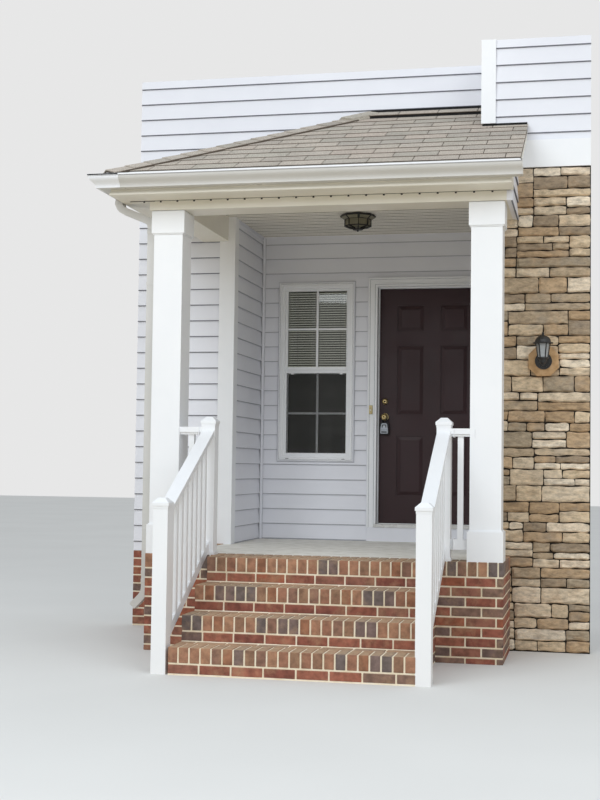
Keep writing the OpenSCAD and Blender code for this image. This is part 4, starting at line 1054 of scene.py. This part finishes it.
def blind_slats():
    """Curved slats, a head rail, a foot rail and ladder cords."""
    work = Work()
    left, right, low, high = -800, -221, 2024, 2840
    mid, count = 1058, 38
    work.box((left, 1050, high - 26), (right, 1066, high), 2)
    work.box((left, 1052, low), (right, 1064, low + 14), 3)
    for k in range(count):
        z = low + 22 + k * (high - low - 56) / (count - 1)
        rows = []
        for x in (left, right):
            top = [(x, mid + 7.6 * t, z - 5.5 * t + 1.6 * (1 - t * t)) for t in (-1, -0.5, 0, 0.5, 1)]
            rows.append(top + [(a, b, c - 0.6) for a, b, c in reversed(top)])
        work.skin(rows)
    for x in (-700, -510, -320):
        for y in (1049.6, 1065):
            work.box((x, y, low + 8), (x + 1.2, y + 1, high - 20), 0.3)
    piece = work.make("blind_slats", SHADED_BLIND, "blind")
    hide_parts("window_blind")


# Lamps


def lantern_parts():
    """Six clear panes and a candle lamp inside the lantern."""
    x, y = LANTERN
    low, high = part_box("lantern_glass")
    z0, z1 = low.z / MM, high.z / MM
    work = Work()
    for k in range(6):
        a, b = math.radians(60 * k), math.radians(60 * k + 60)
        rows = []
        for r, z in ((33.0, z0), (45.5, z1)):
            rows.append([around(x, y, s, t, z) for s, t in ((r, a), (r, b), (r - 3, b), (r - 3, a))])
        work.skin(rows)
    panes = work.make("lantern_panes", CLEAR, "lamp_glass")
    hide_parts("lantern_glass")
    bulb = Work()
    flame = [(0.3, 24), (9, 26), (14, 40), (13, 54), (7, 72), (2, 84), (0.3, 86)]
    bulb.turn([(r, z0 + h) for r, h in flame], (x, y, 0), sides=20)
    bulb.make("lantern_bulb", MILKY, "lamp_glass", smooth=True)
    stem = Work()
    stem.turn([(11, z0 - 4), (11, z0 + 22), (9, z0 + 27), (0.3, z0 + 27)], (x, y, 0), sides=20)
    stem.make("lantern_socket", TRIM, "white_trim", smooth=True)


def ceiling_lamp():
    """A frosted shell and a bulb in the ceiling light, the panes of its lid and the tip under its foot."""
    x, y = LAMP
    low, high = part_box("ceiling_light_glass")
    z0, z1 = low.z / MM, high.z / MM
    shell = Work()
    outside = [(20, z0 + 3), (58, z0 + 9), (84, z0 + 18), (86, z1 - 2)]
    inside = [(83, z1 - 2), (81, z0 + 20), (56, z0 + 12), (18, z0 + 6)]
    shell.turn(outside + inside, (x, y, 0), sides=32, ends="loop")
    shell.make("ceiling_light_shell", FROST, "lamp_glass", smooth=True)
    bulb = Work()
    bulb.turn([(0.3, z0 + 22), (16, z0 + 26), (24, z0 + 38), (20, z0 + 50), (12, z1 - 2), (0.3, z1 - 2)],
              (x, y, 0), sides=20)
    bulb.make("ceiling_light_bulb", MILKY, "lamp_glass", smooth=True)
    lid = Work()
    for k in range(8):
        a, b = (math.radians(12 + 45 * side) for side in (k, k + 1))
        rows = []
        for r, h in ((112.4, -44), (140.6, -26.5)):
            outer = [Vector(around(x, y, r, t, CEILING + h)) for t in (a, b)]
            inner = [Vector(around(x, y, r - 3, t, CEILING + h)) for t in (b, a)]
            rows.append([start.lerp(end, part) for start, end in (outer, inner) for part in (0.1, 0.9)])
        lid.skin(rows)
    lid.make("ceiling_light_lid_panes", FROST, "lamp_glass")
    tip = Work()
    foot = CEILING - 127
    finial = [(9, 1), (9, -3), (5, -6), (6.5, -10), (4, -13), (0.3, -14)]
    tip.turn([(r, foot + h) for r, h in finial], (x, y, 0), sides=20)
    tip.make("ceiling_light_finial", BLACK, "black_metal", smooth=True)


# Door


def door_trim():
    """Seals, the sill's ribs, beads on the casing with a line of painted shade inside each, and a dark strip
    on the jamb beside the leaf.
    """
    left, right, foot, head = DOOR
    ribs = Work()
    for k in range(5):
        y = 948 + 17 * k
        ribs.box((2, y, foot - 7), (960, y + 7, foot - 4.5), 1)
    ribs.make("sill_ribs", SILL, "sill_metal")
    seal = Work()
    seal.box((left - 4.5, 1028, foot), (left + 0.5, 1032.5, head + 2), 1)
    seal.box((right - 0.5, 1028, foot), (right + 4.5, 1032.5, head + 2), 1)
    seal.box((left - 4.5, 1028, head - 0.5), (right + 4.5, 1032.5, head + 4.5), 1)
    # A dark strip on the jamb's reveal beside the leaf.
    seal.box((left - 5, 985, foot), (left - 2.5, 989, head + 2), 0.6)
    seal.make("door_seal", RUBBER, "white_trim")
    bead = Work()
    groove = Work()
    # Painted shade: a dark line inside each bead of the casing.
    for edge, wide in ((CASING, 14), (10, 10)):
        for strip, out, inset, face in ((bead, edge, wide, 932.5), (groove, edge - wide, 2.2, LINE_FACE)):
            x0, x1, top = FRAME_LEFT - out, FRAME_RIGHT + out, FRAME_TOP + out
            strip.border(x0, x1, KICK_TOP, top, inset, face, TRIM_IN, 1.6, sides="LRT")
    groove.make("door_casing_shade_line", LAP, "white_trim")
    bead.make("door_casing_bead", TRIM, "white_trim")


def door_locks():
    """A turned knob, its roses, a bevelled deadbolt and their keyways."""
    front = (LOCK_X, DOOR_FACE, KNOB_Z)
    deep = DOOR_BACK - DOOR_FACE
    half_knob = [(11.4, 0), (11.4, -22), (10.5, -28), (13, -34), (20, -37), (26, -44), (27, -53),
                 (24, -62), (17, -68), (9, -70), (8.5, -69), (0.4, -69)]
    knob = Work()
    knob.turn(list(reversed(half_knob)) + [(r, deep - h) for r, h in half_knob], front, "Y", 40)
    piece = knob.make("turned_knob", BRASS, "brass", body="knob", smooth=True)
    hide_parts("door_knob")
    keyway = Work()
    # Painted shade: a dark disc for the keyhole of the knob.
    keyway.turn([(0.4, -69.8), (6, -69.8), (7.5, -69), (7.5, -67), (0.4, -67)], front, "Y", 20)
    keyway.make("knob_keyway", DARK_PAINT_AND_SHADE, "brass", body="knob")
    plates = Work()
    rose = [(12.2, 0), (32.5, 0), (33, -2), (30, -5), (24, -6.5), (21, -9.5), (12.2, -9.8)]
    plates.turn(rose, front, "Y", 48, ends="loop")
    plates.turn([(r, deep - h) for r, h in reversed(rose)], front, "Y", 48, ends="loop")
    piece = plates.make("turned_roses", BRASS, "brass", body="door", smooth=True)
    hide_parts("knob_rose")
    bolt = Work()
    seat = (LOCK_X, DOOR_FACE, BOLT_Z)
    outside = [(0.4, -16.5), (10.5, -16.5), (11, -18.5), (15, -20), (17, -18.5), (24, -10), (28, -4), (28, 0)]
    inside = [(28, deep), (28, deep + 4), (25, deep + 8), (10, deep + 9), (0.4, deep + 9)]
    for profile in (outside, inside):
        bolt.turn(profile, seat, "Y", 48)
    bolt.box((LOCK_X - 4, DOOR_BACK + 8, BOLT_Z - 15), (LOCK_X + 4, DOOR_BACK + 12, BOLT_Z + 15), 1.5)
    piece = bolt.make("turned_deadbolt", BRASS, "brass", body="door", smooth=True)
    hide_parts("deadbolt")
    slot = Work()
    # Painted shade: a dark disc for the keyhole of the deadbolt.
    slot.turn([(0.4, -17.4), (7, -17.4), (8.5, -16.6), (8.5, -15), (0.4, -15)], seat, "Y", 20)
    slot.make("deadbolt_keyway", DARK_PAINT_AND_SHADE, "brass", body="door")


def key_box_front():
    """The silver front of the key box on its black body, with a dark bar and arch and four plain dials."""
    x, y, z = LOCK_X, DOOR_FACE - 42, KNOB_Z - 148
    right = [(29, 6), (33, 14), (32, 48), (26, 82), (18, 94)]
    outline = [(-29, 6)] + right + [(-a, b) for a, b in reversed(right[1:])]
    work = Work()
    work.skin([[(x + a * s, y + d, z + 50 + (b - 50) * s) for a, b in outline]
               for d, s in ((2, 1.0), (-2, 1.0), (-3.5, 0.93))])
    for k in range(4):
        work.turn([(1, -4), (6.5, -4), (7.5, -3), (7.5, 3), (6.5, 4), (1, 4)],
                  (x - 19.5 + 13 * k, y - 0.5, z + 36), "X", 14)
    work.make("key_box_front", GREY, "grey_metal", body="door", smooth=True)
    dark = Work()
    dark.box((x - 23, y - 5.2, z + 15), (x + 23, y - 3, z + 24), 1)
    dark.box((x - 17, y - 4.6, z + 76), (x + 17, y - 3, z + 83), 1)
    for side in (-1, 1):
        dark.box((x + side * 12, y - 4.6, z + 58), (x + side * 19, y - 3, z + 76), 1)
    dark.make("key_box_lines", DARK_PAINT_AND_SHADE, "grey_metal", body="door")


def bell_button():
    """The button of the doorbell in its raised border."""
    x0, x1, z0, z1 = BELL
    y = 923
    border = Work()
    border.border(x0 + 4, x1 - 4, z0 + 6, z1 - 6, 3, y - 2, y + 1, 1)
    border.make("doorbell_border", BRASS, "brass")
    button = Work()
    button.turn([(7, 1), (7, -2.5), (5.5, -4), (0.4, -4.4)], ((x0 + x1) / 2, y, (z0 + z1) / 2 - 4), "Y", 24)
    button.make("doorbell_button", IVORY, "brass", smooth=True)


# Stage, light and camera

HORIZON, ZENITH, SEEN = 0.34, 0.9, 0.8
COOL = (0.905, 0.955, 1.0)
LIGHTS = (
    ("key", (-3.8, -12.5, 8.2), (0, -0.5, 1.6), 8.0, 700.0),
    ("fill", (7.0, -11.0, 7.0), (0, -0.5, 1.5), 7.0, 400.0),
)

# The camera fitted to the photograph: degrees, metres, and pixels of its frame.
YAW, TILT, ROLL = 12.339, 2.856, 0.737
EYE = (1.823, -10.351, 1.286)
FOCAL, FRAME_HIGH = 1345, 800


def stage():
    """A floor and world that are pale where they are seen, and light the porch warm below and cool above."""
    floor = bpy.data.meshes.new("stage_floor")
    floor.from_pydata([(-40, -40, 0), (40, -40, 0), (40, 40, 0), (-40, 40, 0)], [], [(0, 1, 2, 3)])
    stand = bpy.data.objects.new("stage_floor", floor)
    bpy.context.scene.collection.objects.link(stand)
    f = Finish("stage_floor", 0.9)
    pale = f.fade(f.noise(0.6, 2.0), "dcdbd8", "e0dfdc")
    f.set("Base Color", f.mix(f.seen(), rgb("cfc4b1"), pale))
    stand.data.materials.append(f.material)

    world = bpy.data.worlds.new("studio")
    bpy.context.scene.world = world
    world.use_nodes = True
    sky = Nodes(world.node_tree)
    up = sky.node("SeparateXYZ", {"Vector": sky.node("TexCoord").outputs["Generated"]}).outputs["Z"]
    cool = sky.mix(sky.span(up, 0.0, 1.0, HORIZON, ZENITH), (0, 0, 0, 1), (*COOL, 1))
    colour = sky.mix(sky.seen(), cool, (SEEN, SEEN, SEEN, 1))
    world.node_tree.links.new(colour, world.node_tree.nodes["Background"].inputs["Color"])

    for name, spot, aim, size, power in LIGHTS:
        light = bpy.data.lights.new(name, "AREA")
        light.size, light.energy, light.color = size, power, COOL
        lamp = bpy.data.objects.new(name, light)
        lamp.location = spot
        lamp.rotation_euler = (Vector(aim) - Vector(spot)).to_track_quat("-Z", "Y").to_euler()
        bpy.context.scene.collection.objects.link(lamp)


def camera():
    """The camera fitted to the photograph."""
    yaw, pitch, roll = (math.radians(a) for a in (YAW, TILT, ROLL))
    ahead = Vector((-math.sin(yaw) * math.cos(pitch), math.cos(yaw) * math.cos(pitch), math.sin(pitch)))
    level = Vector((math.cos(yaw), math.sin(yaw), 0))
    up = level.cross(ahead)
    right = level * math.cos(roll) + up * math.sin(roll)
    top = up * math.cos(roll) - level * math.sin(roll)
    data = bpy.data.cameras.new("camera")
    data.sensor_width = 36
    data.lens = data.sensor_width * FOCAL / FRAME_HIGH
    data.clip_end = 200
    eye = bpy.data.objects.new("camera", data)
    eye.matrix_world = axes(EYE, right, top, -ahead)
    bpy.context.scene.collection.objects.link(eye)
    bpy.context.scene.camera = eye


# The order is kept, because the pieces share one row of random draws.
for make in (
    camera, stage, dress_nodes, siding_lap_shade, siding_trim, dark_lines, brick_steps, mortar_fillets,
    foundation_bricks, base_bricks, shingles, hip_caps, ledgestone, ceiling_boards, soffit_vents,
    gutter_corner, downspout_sleeves, rail_brackets, window_parts, blind_slats, lantern_parts,
    ceiling_lamp, door_trim, door_locks, key_box_front, bell_button,
):
    make()

bpy.context.scene.view_settings.view_transform = "Standard"
